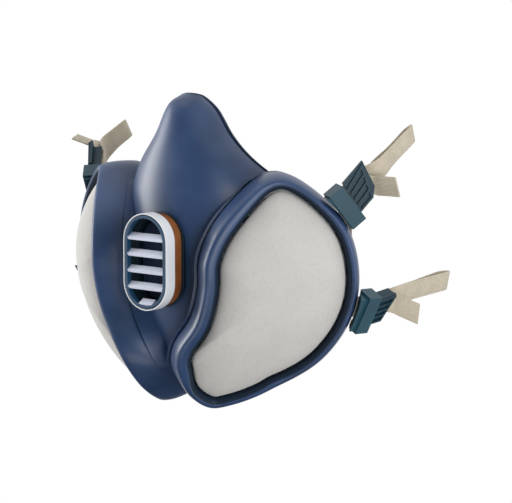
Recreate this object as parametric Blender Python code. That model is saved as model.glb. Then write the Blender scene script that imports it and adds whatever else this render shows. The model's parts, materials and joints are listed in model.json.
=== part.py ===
"""Half-face respirator with two cheek filter cartridges, an exhalation valve and a head harness.

Drawing axes, in millimetres: X is the wearer's left, -Y is the front, Z is up, and the mask is
symmetrical about X = 0.  Z = 0 lies near the middle of the valve grille.  A cheek filter has its
own axes: s runs outward and back across the cheek, h runs forward out of the cheek, and z is up.
place() turns drawing millimetres into the part's frame in metres, whose origin is the middle of
the footprint on the surface that the mask stands on.
"""
import math

import bmesh
import bpy
import numpy as np
from mathutils import Matrix, Vector

MM = 0.001
REST_Z = -58.3                    # drawing height of the lowest rubber
ORIGIN = (0.0, -17.5, 5.8)        # drawing place of the middle of the opening that the face fills
GAP = 0.35                # clearance between neighbouring pieces

# Cheek filter
CHEEK_TURN = math.radians(40.0)   # how far each filter faces out to its own side
CROWN_H = 70.8                    # greatest height of the filter's front along h
CROWN_Z = 5.0                     # where along z it is that high
CROWN_FALL = 164.0                # the front falls away by (z - CROWN_Z)^2 / CROWN_FALL
CROWN_TIP = 6.5                   # and by this much more at the tip of the lower lobe
CROWN_LEAN = 0.045                # fall per millimetre from the nose side to the outer side
CROWN_LEAN_S = -20.0              # where that lean starts
LOBE_TOP = -30.0                  # below this height the lower lobe sweeps up towards the back
LOBE_RISE = 0.52                  # and at its tip it rises by this much for each depth
RIM_OUTLINE = (                   # (s, z), the outer edge of the rubber rim
    (8.5, 38.0), (21.7, 30.7), (33.6, 17.0), (37.8, -2.0), (34.5, -19.0), (23.9, -35.3),
    (7.0, -47.5), (-10.0, -56.3), (-19.5, -58.3), (-28.5, -51.2), (-35.0, -38.0), (-34.0, -29.0),
    (-27.5, -18.0), (-24.5, -5.0), (-24.0, 6.0), (-19.0, 18.0), (-9.0, 30.0), (0.0, 36.8))
CHEEK_CENTRE = (2.0, -8.0)        # the outline is star-shaped about this point
RIM_LOOP = 44                     # points round a filter outline
RIM_PROFILE = (                   # (inset on the inner side, inset on the outer side, depth)
    (2.4, 2.4, 16.5), (0.6, 0.6, 16.5), (0.0, 0.0, 10.0), (1.2, 0.4, 3.6), (2.6, 1.4, 0.5),
    (4.0, 2.2, 0.0), (6.4, 3.3, 0.7), (7.7, 4.7, 3.2), (8.0, 5.2, 7.5), (2.4, 2.4, 7.5))
HOUSING_BACK = 18.5               # depth of the housing's back face
HOUSING_FLOOR = 16.7              # depth of the housing's inner floor
PAD_INSET = (8.5, 5.7)            # inner and outer side
PAD_EDGE_DEPTH = 3.6
PAD_BACK_DEPTH = 7.6
PAD_DOME = 7.8                    # rise of the pad's middle above its edge
PLATE_SCALES = (0.35, 0.7, 0.88, 1.0)   # loops of a crowned plate, from its middle to its edge
PORT_CENTRE = (-3.0, 6.0)         # (s, z) of the inhalation port
PORT_RADIUS = 10.0
INHALE_FLAP_RADIUS = 8.4
INHALE_FLAP_THICK = 0.8

# Facepiece: each row runs from the rear edge at the side to the middle of the front
FACE_THICK = 2.4
FACE_ROWS = (                     # (edge x, edge y, edge z, front y, front z)
    (4.5, -40.5, 66.4, -43.5, 67.4), (9.0, -38.0, 61.5, -50.5, 64.0),
    (15.5, -35.8, 50.5, -55.0, 52.0), (23.5, -33.5, 42.0, -57.2, 42.0),
    (31.5, -25.0, 33.0, -58.6, 32.0), (39.0, -9.0, 22.0, -59.0, 20.0),
    (44.0, 0.5, 7.0, -58.4, 5.0), (43.0, 2.0, -9.0, -57.8, -11.0),
    (37.0, 0.0, -24.0, -56.8, -27.0), (28.5, -6.0, -36.5, -53.0, -39.5),
    (20.0, -9.5, -44.5, -36.5, -45.5), (12.5, -12.0, -51.0, -27.5, -51.5),
    (8.0, -13.0, -54.6, -23.0, -58.4), (5.5, -13.5, -57.0, -18.0, -60.4))
FACE_FULLNESS = 0.85              # below 1 the sides stay full before they turn to the front
FACE_ROW_STEPS = 2                # rows sampled between two design rows
FACE_ARC_STEPS = 23               # points from one rear edge round to the other

SOCKET_WALL = 1.8                 # wall of the facepiece behind each filter
SOCKET_FRONT = 12.0               # depth that it reaches beside the filter, next to the nose

# Exhalation valve, a round-ended barrel on the middle line
VALVE_Z = 3.5
VALVE_HALF_W = 11.0
VALVE_HALF_H = 19.0
VALVE_ARC = 10                    # segments in each half-round end
COLOUR_BAND = ((10.2, -59.8), (10.2, -64.3), (8.6, -64.3), (8.6, -59.8))      # (half width, y)
VALVE_COVER = ((11.0, -64.7), (11.0, -69.8), (10.8, -70.0), (10.5, -69.8), (10.5, -67.2), (9.7, -67.2),
               (9.7, -66.1), (8.8, -66.1), (8.8, -64.7))
LOUVRES = 5
LOUVRE_PITCH = 6.4
EXHALE_FLAP_HALF_W = 7.4
EXHALE_FLAP_HALF_H = 15.2

# Buckles: middle of the hinge block, its long axis, the way its tongue leaves, and how far the
# tongue leans up along the block for each millimetre of its length
STRAP_WIDTH = 8.0
STRAP_THICK = 0.8
BLOCK = (16.5, 6.6, 6.8)          # long, across, deep
BLOCK_EAR = 2.2
BLOCK_SKIN = 0.9
EAR_END = 0.8                         # skin that closes the pin's hole at each end
PIN_RADIUS = 0.8
HINGE = (1.4, 0.2)                # the pin's place across and through the block
BARREL_RADIUS = 1.9
TONGUE_HALF = 5.7
TONGUE_ENDS = {"upper": (13.6, 9.2), "lower": (11.6, 8.4)}    # length along its upper and lower wall
TONGUE_PANELS = {                     # (x, y) corners of the panel beyond the hinge
    "upper": ((5.6, 2.9), (4.4, 9.4), (1.2, 12.4), (-10.1, 14.3), (-8.2, 2.9), (-5.7, 2.9)),
    "lower": ((5.7, 2.2), (4.3, 8.4), (-7.9, 11.6), (-5.7, 2.2))}
TONGUE_WALL = 1.1
TONGUE_SQUARE = 2.2                   # the tongue is square to the pin as far as this, and leans beyond
TONGUE_DEPTH = 3.4
BAR_Y = 6.9                       # the strap's bar inside the tongue
BAR_Z = -2.3
BUCKLES = {
    "upper": ((64.3, -27.2, 26.0), (0.281, 0.561, -0.780), (0.458, 0.634, 0.621), 0.16),
    "lower": ((69.6, -21.8, -14.8), (-0.457, 0.035, -0.890), (0.157, 0.987, -0.042), 0.23)}

# Straps: (x, y, z) and the direction of the strap's width, in drawing axes as if on the left.
# Each runs back from its tongue, folds over towards a side and comes round behind the facepiece.
FOLD_RADIUS = 2.2
OUT_WIDTH = (-0.1, 0.44, -0.89)
FLAT_WIDTH = (-0.2, 0.0, -0.98)
UPRIGHT = (0.0, 0.0, -1.0)
OUTS = {
    ("upper", "L"): (((71.2, -14.0, 39.8), (0.1, 0.45, -0.88)), ((70.9, -6.0, 43.8), OUT_WIDTH),
                     ((70.4, 2.0, 47.7), OUT_WIDTH)),
    ("upper", "R"): (((71.2, -14.0, 39.8), (0.1, 0.45, -0.88)), ((70.9, -6.0, 43.8), OUT_WIDTH)),
    "lower": (((72.4, -4.5, -10.6), (-0.25, 0.0, -0.97)), ((71.6, 8.0, -10.2), FLAT_WIDTH),
              ((70.8, 22.0, -10.0), FLAT_WIDTH))}
FOLDS = {                         # where it starts, the way the strap runs there, the side, the width
    ("upper", "L"): ((70.0, 9.8, 51.4), (-0.05, 0.9, 0.43), (-0.86, 0.1, -0.5), OUT_WIDTH),
    ("upper", "R"): ((70.6, 0.6, 47.0), (-0.05, 0.9, 0.43), (0.82, 0.05, -0.57), OUT_WIDTH),
    "lower": ((70.0, 36.0, -9.8), (-0.05, 1.0, 0.01), (-1.0, 0.0, -0.1), FLAT_WIDTH)}
BACKS = {
    ("upper", "L"): (
        ((66.2, 0.0, 43.6), OUT_WIDTH), ((65.8, -9.0, 38.6), (0.1, 0.6, -0.8)),
        ((63.5, -15.0, 32.5), (0.3, 0.7, -0.65)), ((59.5, -15.5, 25.5), (0.5, 0.6, -0.6)),
        ((51.8, -9.4, 17.5), (0.5, 0.5, -0.7)), ((46.0, 0.6, 10.5), (0.3, 0.3, -0.9)),
        ((41.0, 9.5, 4.0), (0.0, 0.1, -1.0)), ((28.0, 14.5, -3.0), UPRIGHT),
        ((20.5, 15.9, -7.4), UPRIGHT), ((17.0, 16.1, -7.6), UPRIGHT)),
    ("upper", "R"): (
        ((74.2, -5.0, 41.4), OUT_WIDTH), ((74.4, -11.0, 35.6), (0.1, 0.6, -0.8)),
        ((72.0, -13.4, 28.5), (0.3, 0.7, -0.65)), ((64.5, -11.4, 20.0), (0.5, 0.6, -0.6)),
        ((55.0, -5.0, 13.5), (0.4, 0.4, -0.8)), ((48.4, 2.5, 8.8), (0.2, 0.2, -0.95)),
        ((41.0, 9.5, 4.0), (0.0, 0.1, -1.0)), ((28.0, 14.5, -3.0), UPRIGHT),
        ((20.5, 15.9, -7.4), UPRIGHT), ((17.0, 16.1, -7.6), UPRIGHT)),
    "lower": (
        ((65.0, 22.0, -11.6), FLAT_WIDTH), ((64.0, 7.0, -13.6), FLAT_WIDTH),
        ((61.0, -6.0, -15.2), (0.0, 0.2, -0.98)), ((54.5, -8.5, -16.4), (0.0, 0.1, -1.0)),
        ((48.0, -1.0, -17.5), (0.0, 0.1, -1.0)), ((41.5, 8.5, -20.0), UPRIGHT),
        ((29.0, 14.5, -29.5), UPRIGHT), ((22.0, 16.6, -34.2), UPRIGHT), ((16.2, 17.3, -35.5), UPRIGHT))}
TAILS = {                         # loose end, its width direction, and where it leaves the tongue
    ("upper", "L"): ((81.0, -16.0, 33.5), (0.1, 0.25, -0.95), (1.5, 12.7)),
    ("upper", "R"): ((80.5, -21.5, 44.5), (0.34, 0.80, 0.12), (-3.6, 18.0)),
    ("lower", "L"): ((82.0, -2.0, -17.3), (0.0, -0.2, -0.95), (-2.6, 13.2)),
    ("lower", "R"): ((82.0, -2.0, -17.3), (0.0, -0.2, -0.95), (-2.6, 13.2))}
CRADLE = ((-15.0, 16.2, -7.6), (0.0, 17.4, -9.2), (15.0, 16.2, -7.6))
CRADLE_WIDTH = 20.0
CRADLE_THICK = 2.2
CLASP_MIDDLE = (0.0, 17.6, -36.0)


def place(point):
    """Drawing millimetres to the part's frame in metres."""
    return (Vector(point) - Vector(ORIGIN)) * MM


# ---------------------------------------------------------------- materials and objects

def material(name, colour, roughness, metallic=0.0):
    made = bpy.data.materials.new(name)
    made.use_nodes = True
    shader = made.node_tree.nodes["Principled BSDF"]
    shader.inputs["Base Color"].default_value = (*colour, 1.0)
    shader.inputs["Roughness"].default_value = roughness
    shader.inputs["Metallic"].default_value = metallic
    return made


def mesh_object(name, verts, faces, finish, pivot=(0.0, 0.0, 0.0), sharp=35.0):
    """One closed body from drawing millimetres, its origin at pivot."""
    mesh = bpy.data.meshes.new(name)
    origin = place(pivot)
    mesh.from_pydata([place(v) - origin for v in verts], [], faces)
    body = bmesh.new()
    body.from_mesh(mesh)
    bmesh.ops.remove_doubles(body, verts=body.verts, dist=0.00001)
    bmesh.ops.recalc_face_normals(body, faces=body.faces)
    body.to_mesh(mesh)
    body.free()
    mesh.shade_smooth()
    mesh.set_sharp_from_angle(angle=math.radians(sharp))
    made = bpy.data.objects.new(name, mesh)
    made.location = origin
    bpy.context.scene.collection.objects.link(made)
    mesh.materials.append(finish)
    return made


def combine(target, tool, operation):
    """Join tool to target or cut it away, and remove tool."""
    modifier = target.modifiers.new(operation.lower(), "BOOLEAN")
    modifier.operation = operation
    modifier.solver = "EXACT"
    modifier.object = tool
    bpy.context.view_layer.update()
    evaluated = target.evaluated_get(bpy.context.evaluated_depsgraph_get())
    mesh = bpy.data.meshes.new_from_object(evaluated)
    target.modifiers.clear()
    target.data = mesh
    bpy.data.objects.remove(tool)
    return target


def cut(target, tool):
    return combine(target, tool, "DIFFERENCE")


def join(target, tool):
    return combine(target, tool, "UNION")


def largest_part(target):
    """Keep a body's largest connected surface and drop the slivers that a cut left beside it."""
    body = bmesh.new()
    body.from_mesh(target.data)
    bmesh.ops.remove_doubles(body, verts=body.verts, dist=0.00002)
    bmesh.ops.dissolve_degenerate(body, edges=body.edges, dist=0.00001)
    parts = []
    seen = set()
    for start in body.faces:
        if start in seen:
            continue
        seen.add(start)
        found = [start]
        for face in found:
            for edge in face.edges:
                for other in edge.link_faces:
                    if other not in seen:
                        seen.add(other)
                        found.append(other)
        parts.append(found)
    largest = max(parts, key=len)
    bmesh.ops.delete(body, geom=[face for part in parts if part is not largest for face in part],
                     context="FACES")
    bmesh.ops.triangulate(body, faces=body.faces)
    body.to_mesh(target.data)
    body.free()
    return target


def mirrored(source, name):
    """The same piece for the other side of the mask."""
    mesh = source.data.copy()
    mesh.name = name
    body = bmesh.new()
    body.from_mesh(mesh)
    bmesh.ops.scale(body, vec=(-1.0, 1.0, 1.0), verts=body.verts)
    bmesh.ops.reverse_faces(body, faces=body.faces)
    body.to_mesh(mesh)
    body.free()
    made = bpy.data.objects.new(name, mesh)
    made.location = (-source.location.x, source.location.y, source.location.z)
    bpy.context.scene.collection.objects.link(made)
    return made


# ---------------------------------------------------------------- shape helpers

def hermite(before, start, end, after, t):
    """A point at t between start and end, with slopes set by how far apart the four points are."""
    gaps = [max(np.linalg.norm(b - a), 1e-6) ** 0.5
            for a, b in ((before, start), (start, end), (end, after))]
    leaving = (start - before) / gaps[0] - (end - before) / (gaps[0] + gaps[1]) + (end - start) / gaps[1]
    arriving = (end - start) / gaps[1] - (after - start) / (gaps[1] + gaps[2]) + (after - end) / gaps[2]
    return ((2 * t ** 3 - 3 * t ** 2 + 1) * start + (t ** 3 - 2 * t ** 2 + t) * gaps[1] * leaving
            + (3 * t ** 2 - 2 * t ** 3) * end + (t ** 3 - t ** 2) * gaps[1] * arriving)


def smooth_path(points, steps, closed=False):
    """A smooth curve through points, with steps samples between two of them."""
    points = np.array(points, float)
    count = len(points)
    if closed:
        ring = np.vstack([points[-1:], points, points[:2]])
    else:
        ring = np.vstack([2 * points[:1] - points[1:2], points, 2 * points[-1:] - points[-2:-1]])
    curve = []
    for index in range(count if closed else count - 1):
        curve.extend(hermite(*ring[index:index + 4], step / steps) for step in range(steps))
    if not closed:
        curve.append(points[-1])
    return np.array(curve)


def even_loop(points, count):
    """A closed smooth outline through points, resampled to count equal steps."""
    curve = smooth_path(points, 16, closed=True)
    closed = np.vstack([curve, curve[:1]])
    along = np.concatenate([[0.0], np.cumsum(np.linalg.norm(np.diff(closed, axis=0), axis=1))])
    want = np.linspace(0.0, along[-1], count, endpoint=False)
    return np.column_stack([np.interp(want, along, closed[:, axis]) for axis in range(closed.shape[1])])


def inward(outline):
    """Unit normals of a clockwise outline, pointing into it."""
    tangent = np.roll(outline, -1, axis=0) - np.roll(outline, 1, axis=0)
    tangent /= np.linalg.norm(tangent, axis=1)[:, None]
    return np.column_stack([tangent[:, 1], -tangent[:, 0]])


def bridge(first, second, count, closed=True):
    """Quads between two rows of count points that start at the given indices."""
    steps = count if closed else count - 1
    return [(first + k, first + (k + 1) % count, second + (k + 1) % count, second + k)
            for k in range(steps)]


def ring_body(loops):
    """A closed ring: each loop joins the next, and the last joins the first."""
    count = len(loops[0])
    verts = [tuple(point) for loop in loops for point in loop]
    faces = []
    for index in range(len(loops)):
        faces += bridge(index * count, ((index + 1) % len(loops)) * count, count)
    return verts, faces


def plug_body(loops, first_tip=None, last_tip=None):
    """A closed plug: loops joined in order, each end filled or drawn to a tip."""
    count = len(loops[0])
    verts = [tuple(point) for loop in loops for point in loop]
    faces = []
    for index in range(len(loops) - 1):
        faces += bridge(index * count, (index + 1) * count, count)
    for start, tip in ((0, first_tip), ((len(loops) - 1) * count, last_tip)):
        if tip is None:
            faces.append(tuple(range(start, start + count)))
        else:
            verts.append(tuple(tip))
            faces += [(start + k, start + (k + 1) % count, len(verts) - 1) for k in range(count)]
    return verts, faces


def box_body(low, high, frame):
    """A box between two corners in a local frame."""
    corners = [(x, y, z) for x in (low[0], high[0]) for y in (low[1], high[1])
               for z in (low[2], high[2])]
    verts = [frame @ Vector(corner) for corner in corners]
    faces = [(0, 1, 3, 2), (4, 6, 7, 5), (0, 4, 5, 1), (2, 3, 7, 6), (0, 2, 6, 4), (1, 5, 7, 3)]
    return verts, faces


def round_loop(centre, along, across, radius, count):
    """A circle of count points about centre in the plane of along and across."""
    angles = np.linspace(0.0, 2 * math.pi, count, endpoint=False)
    return [centre + along * (radius * math.cos(a)) + across * (radius * math.sin(a)) for a in angles]


# ---------------------------------------------------------------- cheek filters

def cheek_point(s, h, z):
    """Drawing coordinates of a point given in the left filter's own axes."""
    c, d = math.cos(CHEEK_TURN), math.sin(CHEEK_TURN)
    return (c * s + d * h, d * s - c * h, z)


def crown(s, z):
    """Height of the filter's front surface above the cheek axes' origin."""
    away = z - CROWN_Z
    tip = CROWN_TIP * (away / (REST_Z - CROWN_Z)) ** 12
    return CROWN_H - away ** 2 / CROWN_FALL - tip - CROWN_LEAN * (s - CROWN_LEAN_S)


def eased(t):
    """0 below 0, 1 above 1, and a smooth change between them."""
    t = min(max(t, 0.0), 1.0)
    return t * t * (3.0 - 2.0 * t)


def outer_share(s, z):
    """0 on the side of a filter next to the nose, 1 on its outer side and on the lower lobe."""
    return max(eased((s + 18.0) / 36.0), eased((-40.0 - z) / 12.0))


def surface_point(s, z, depth):
    """A point of a filter, sunk below the crowned front."""
    share = min(max((LOBE_TOP - z) / (LOBE_TOP - REST_Z), 0.0), 1.0)
    rise = LOBE_RISE * share ** 2 * max(depth, 0.0)
    return cheek_point(s, crown(s, z) - depth, max(z, REST_Z) + rise)


def filter_loop(inner_inset, outer_inset, depth, scale=1.0):
    """The filter outline pulled in, drawn towards its centre by scale, and sunk to a depth."""
    outline = even_loop(RIM_OUTLINE, RIM_LOOP)
    loop = []
    for (s, z), normal in zip(outline, inward(outline)):
        inset = inner_inset + (outer_inset - inner_inset) * outer_share(s, z)
        s += normal[0] * inset
        z += normal[1] * inset
        loop.append(surface_point(CHEEK_CENTRE[0] + (s - CHEEK_CENTRE[0]) * scale,
                                  CHEEK_CENTRE[1] + (z - CHEEK_CENTRE[1]) * scale, depth))
    return loop


def centre_tip(depth):
    return surface_point(*CHEEK_CENTRE, depth)


def slab(inset, front_depth, back_depth):
    """A plate with the filter's outline and its crowned surface."""
    loops = [filter_loop(inset, inset, back_depth, scale) for scale in (0.35, 0.7, 1.0)]
    loops += [filter_loop(inset, inset, front_depth, scale) for scale in (1.0, 0.7, 0.35)]
    return plug_body(loops, centre_tip(back_depth), centre_tip(front_depth))


def filter_rim(name, finish):
    return mesh_object(name, *ring_body([filter_loop(*row) for row in RIM_PROFILE]), finish)


def filter_pad(name, finish):
    loops = [filter_loop(*PAD_INSET, PAD_BACK_DEPTH, scale) for scale in (0.35, 0.7, 1.0)]
    for scale in (1.0, 0.97, 0.9, 0.78, 0.6, 0.38, 0.18):
        rise = PAD_DOME * (1.0 - scale ** 2.6) ** 0.8
        loops.append(filter_loop(*PAD_INSET, PAD_EDGE_DEPTH - rise, scale))
    tips = centre_tip(PAD_BACK_DEPTH), centre_tip(PAD_EDGE_DEPTH - PAD_DOME)
    return mesh_object(name, *plug_body(loops, *tips), finish)


def port_frame():
    """Middle of the inhalation port on the housing's back, and its axes."""
    s, z = PORT_CENTRE
    middle = Vector(cheek_point(s, crown(s, z) - HOUSING_BACK, z))
    across = Vector(cheek_point(1.0, 0.0, 0.0))
    forward = Vector(cheek_point(0.0, 1.0, 0.0))
    return middle, across, Vector((0.0, 0.0, 1.0)), forward


def turned(profile, count=24):
    """A closed ring about the port's axis from (radius, forward) pairs."""
    middle, across, up, forward = port_frame()
    loops = [round_loop(middle + forward * h, across, up, radius, count) for radius, h in profile]
    return ring_body(loops)


def port_cutter(radius):
    middle, across, up, forward = port_frame()
    loops = [round_loop(middle + forward * h, across, up, radius, 24) for h in (-9.0, 5.0)]
    return mesh_object("port_cutter", *plug_body(loops), None)


def cartridge_housing(name, finish):
    loops = [filter_loop(4.4, 4.4, HOUSING_FLOOR, 0.35), filter_loop(4.4, 4.4, HOUSING_FLOOR, 0.7),
             filter_loop(4.4, 4.4, HOUSING_FLOOR), filter_loop(4.4, 4.4, 7.9),
             filter_loop(2.8, 2.8, 7.9), filter_loop(2.8, 2.8, 17.0)]
    loops += [filter_loop(3.8, 3.8, HOUSING_BACK, scale) for scale in reversed(PLATE_SCALES)]
    shell = mesh_object(name, *plug_body(loops, centre_tip(HOUSING_FLOOR), centre_tip(HOUSING_BACK)), finish)
    return cut(shell, port_cutter(PORT_RADIUS))


def filter_grid(name, finish):
    """Thin retainer between the pad and the sorbent, with slots for the air."""
    plate = mesh_object(name, *slab(4.8, 8.2, 9.4), finish)
    for row in range(5):
        z = -32.0 + 13.0 * row
        s = -16.0 if z < -20.0 else -8.0
        frame = cheek_frame(s + 12.0, crown(s + 12.0, z) - 9.0, z)
        plate = cut(plate, mesh_object("slot", *box_body((-11.0, -2.2, -4.0), (11.0, 2.2, 4.0), frame), None))
    return largest_part(plate)


def cheek_frame(s, h, z):
    """A local frame on the left filter: X across the cheek, Y up, Z forward."""
    across = Vector(cheek_point(1.0, 0.0, 0.0))
    forward = Vector(cheek_point(0.0, 1.0, 0.0))
    up = Vector((0.0, 0.0, 1.0))
    frame = Matrix((across, up, forward)).transposed().to_4x4()
    frame.translation = Vector(cheek_point(s, h, z))
    return frame


def carbon_bed(name, finish):
    return mesh_object(name, *slab(4.8, 10.3, 15.6), finish)


def inhalation_seat(name, finish):
    """Ring in the housing's port with a cross that stops the flap."""
    radius = PORT_RADIUS - GAP
    seat = mesh_object(name, *turned(((radius, 1.2), (radius, -2.4), (radius - 2.0, -2.4),
                                      (radius - 2.0, 1.2))), finish)
    middle, across, up, forward = port_frame()
    frame = Matrix((across, up, forward)).transposed().to_4x4()
    frame.translation = middle
    reach = radius - 1.0
    for low, high in (((-reach, -0.7, -1.6), (reach, 0.7, 0.8)), ((-0.7, -reach, -1.5), (0.7, reach, 0.7))):
        seat = join(seat, mesh_object("bar", *box_body(low, high, frame), None))
    return seat


def inhalation_flap(name, finish):
    """Thin round flap behind the seat, hinged along its top edge."""
    middle, across, up, forward = port_frame()
    back = -2.4 - GAP
    loops = [round_loop(middle + forward * h, across, up, INHALE_FLAP_RADIUS, 24)
             for h in (back, back - INHALE_FLAP_THICK)]
    pivot = middle + forward * back + up * INHALE_FLAP_RADIUS
    return mesh_object(name, *plug_body(loops), finish, pivot)


# ---------------------------------------------------------------- facepiece

def face_surface():
    """Outer surface points of the facepiece, row by row from the nose to the chin."""
    rows = smooth_path(FACE_ROWS, FACE_ROW_STEPS)
    grid = []
    for edge_x, edge_y, edge_z, front_y, front_z in rows:
        row = []
        for step in range(FACE_ARC_STEPS + 1):
            turn = math.pi * step / FACE_ARC_STEPS
            sweep = math.sin(turn) ** FACE_FULLNESS
            row.append((edge_x * math.cos(turn), edge_y + (front_y - edge_y) * sweep,
                        edge_z + (front_z - edge_z) * sweep))
        grid.append(row)
    return np.array(grid)


def grid_normals(grid):
    """Outward unit normals of a grid of points."""
    down = np.gradient(grid, axis=0)
    along = np.gradient(grid, axis=1)
    normal = np.cross(along, down)
    normal /= np.maximum(np.linalg.norm(normal, axis=2), 1e-9)[:, :, None]
    return normal


def sheet_body(outer, inner):
    """A closed sheet between two grids of the same size."""
    rows, count = outer.shape[:2]
    verts = [tuple(p) for p in outer.reshape(-1, 3)] + [tuple(p) for p in inner.reshape(-1, 3)]
    faces = []
    for row in range(rows - 1):
        faces += bridge(row * count, (row + 1) * count, count, closed=False)
        faces += bridge((rows + row) * count, (rows + row + 1) * count, count, closed=False)
        for column in (0, count - 1):
            low, high = row * count + column, (row + 1) * count + column
            faces.append((low, high, high + rows * count, low + rows * count))
    for row in (0, rows - 1):
        for column in range(count - 1):
            low = row * count + column
            faces.append((low, low + 1, low + 1 + rows * count, low + rows * count))
    return verts, faces


def envelope_cutter():
    """The space of a whole filter, a little larger than its rim and housing."""
    back, front = HOUSING_BACK + 2.0 * GAP, -8.0
    loops = [filter_loop(3.0, 3.0, back, scale) for scale in PLATE_SCALES]
    loops.append(filter_loop(0.3, 0.3, 17.2))
    loops += [filter_loop(-GAP, -GAP, depth) for depth in (16.0, 10.0, front)]
    loops += [filter_loop(0.0, 0.0, front, scale) for scale in (0.7, 0.35)]
    return mesh_object("envelope", *plug_body(loops, centre_tip(back), centre_tip(front)), None)


def socket():
    """The wall of the facepiece behind a filter."""
    back = HOUSING_BACK + GAP + SOCKET_WALL
    loops = [filter_loop(0.6, 2.0, back, scale) for scale in PLATE_SCALES]
    loops.append(filter_loop(-0.9, 0.8, back - 1.0))
    loops += [filter_loop(-1.5, 4.0, SOCKET_FRONT, scale) for scale in (1.0, 0.7, 0.35)]
    return mesh_object("socket", *plug_body(loops, centre_tip(back), centre_tip(SOCKET_FRONT)), None)


def stadium_loop(half_w, half_h, y):
    """A round-ended upright outline about the valve's axis at depth y."""
    loop = []
    for end, start in ((1, 0.0), (-1, math.pi)):
        for step in range(VALVE_ARC + 1):
            turn = start + math.pi * step / VALVE_ARC
            loop.append((half_w * math.cos(turn), y,
                         VALVE_Z + end * (half_h - half_w) + half_w * math.sin(turn)))
    return loop


def facepiece(name, finish):
    outer = face_surface()
    inner = outer - grid_normals(outer) * FACE_THICK
    outer[:, :, 2] = np.maximum(outer[:, :, 2], REST_Z)
    shell = mesh_object(name, *sheet_body(outer, inner), finish)
    for combined, left in ((join, socket()), (cut, envelope_cutter()), (cut, port_cutter(PORT_RADIUS))):
        combined(shell, join(left, mirrored(left, "right")))
    hole = [stadium_loop(9.5 + GAP, 17.5 + GAP, y) for y in (-66.0, -45.0)]
    return largest_part(cut(shell, mesh_object("valve_hole", *plug_body(hole), None)))


def face_seal(name, finish):
    """Soft lip along the rear edge of the facepiece, turned in towards the face."""
    grid = face_surface()
    outer_edge = list(grid[:, 0])[::-1] + list(grid[0, 1:-1]) + list(grid[:, -1]) + list(grid[-1, 1:-1])[::-1]
    edge = even_loop(outer_edge[::2], 56)
    edge[:, 2] = np.maximum(edge[:, 2], REST_Z + 2.6)
    middle = np.array([0.0, -12.0, 4.0])
    section = ((1.4, -0.2), (2.8, 0.3), (4.4, 2.6), (4.6, 7.0), (3.7, 7.0), (3.4, 3.2), (2.7, 1.9),
               (1.4, 1.7))
    loops = []
    for back, inner_reach in section:
        loop = []
        for point in edge:
            into = middle - point
            into[1] = 0.0
            into /= np.linalg.norm(into)
            clear = back + 2.0 * eased((REST_Z + 10.0 - point[2]) / 8.0)
            loop.append(tuple(point + np.array([0.0, clear, 0.0]) + into * inner_reach))
        loops.append(loop)
    return mesh_object(name, *ring_body(loops), finish)


# ---------------------------------------------------------------- exhalation valve

def valve_ring(name, profile, finish):
    """A closed ring about the valve's axis from (half width, y) pairs."""
    loops = [stadium_loop(half_w, half_w + VALVE_HALF_H - VALVE_HALF_W, y) for half_w, y in profile]
    return mesh_object(name, *ring_body(loops), finish)


def valve_body(name, finish):
    """Flanged bush through the facepiece, with a spider that the flap closes on."""
    profile = ((9.5, -51.0), (9.5, -59.0), (10.8, -59.0), (10.8, -59.5), (8.2, -59.5), (8.2, -61.0),
               (7.0, -61.0), (7.0, -51.0))
    body = valve_ring(name, profile, finish)
    frame = Matrix.Translation((0.0, 0.0, VALVE_Z))
    for z in (-8.0, 0.0, 8.0):
        bar = box_body((-7.5, -60.6, z - 0.6), (7.5, -58.6, z + 0.6), frame)
        join(body, mesh_object("bar", *bar, None))
    return body


def exhalation_flap(name, finish):
    back = -61.0 - GAP
    loops = [stadium_loop(EXHALE_FLAP_HALF_W, EXHALE_FLAP_HALF_H, y) for y in (back, back - 0.8)]
    pivot = (0.0, back - 0.4, VALVE_Z + EXHALE_FLAP_HALF_H)
    return mesh_object(name, *plug_body(loops), finish, pivot)


def valve_grille(name, finish):
    """Front frame with louvres that slope down and forward."""
    profile = ((10.2, -70.0), (10.2, -67.6), (9.0, -67.6), (9.0, -70.0))
    grille = valve_ring(name, profile, finish)
    for index in range(LOUVRES):
        z = (index - (LOUVRES - 1) / 2) * LOUVRE_PITCH - 3.2
        half = math.sqrt(9.4 ** 2 - max(abs(z) + 0.8 - (VALVE_HALF_H - VALVE_HALF_W), 0.0) ** 2)
        frame = Matrix.Translation((0.0, -68.2, VALVE_Z + z)) @ Matrix.Rotation(math.radians(32.0), 4, "X")
        blade = box_body((-half, -1.6, -0.6), (half, 1.6, 0.6), frame)
        join(grille, mesh_object("blade", *blade, None))
    return grille


# ---------------------------------------------------------------- buckles and straps

def buckle_frame(level):
    """X down the hinge block, Y the way the tongue leaves, Z out of the block's front."""
    middle, long_axis, out_axis, _ = BUCKLES[level]
    x = Vector(long_axis).normalized()
    y = Vector(out_axis)
    y = (y - x * y.dot(x)).normalized()
    frame = Matrix((x, y, x.cross(y))).transposed().to_4x4()
    frame.translation = Vector(middle)
    return frame


def hinge_frame(level):
    return buckle_frame(level) @ Matrix.Translation((0.0, *HINGE))


def rod(frame, low_x, high_x, radius, y=0.0, z=0.0, count=12):
    """A rod along a frame's X."""
    turns = np.linspace(0.0, 2 * math.pi, count, endpoint=False)
    loops = [[frame @ Vector((x, y + radius * math.cos(a), z + radius * math.sin(a)))
              for a in turns] for x in (low_x, high_x)]
    return plug_body(loops)


def prism(frame, outline, low_z, high_z):
    """An outline in a frame's X and Y, extruded along its Z."""
    return plug_body([[frame @ Vector((x, y, z)) for x, y in outline] for z in (low_z, high_z)])


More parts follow.
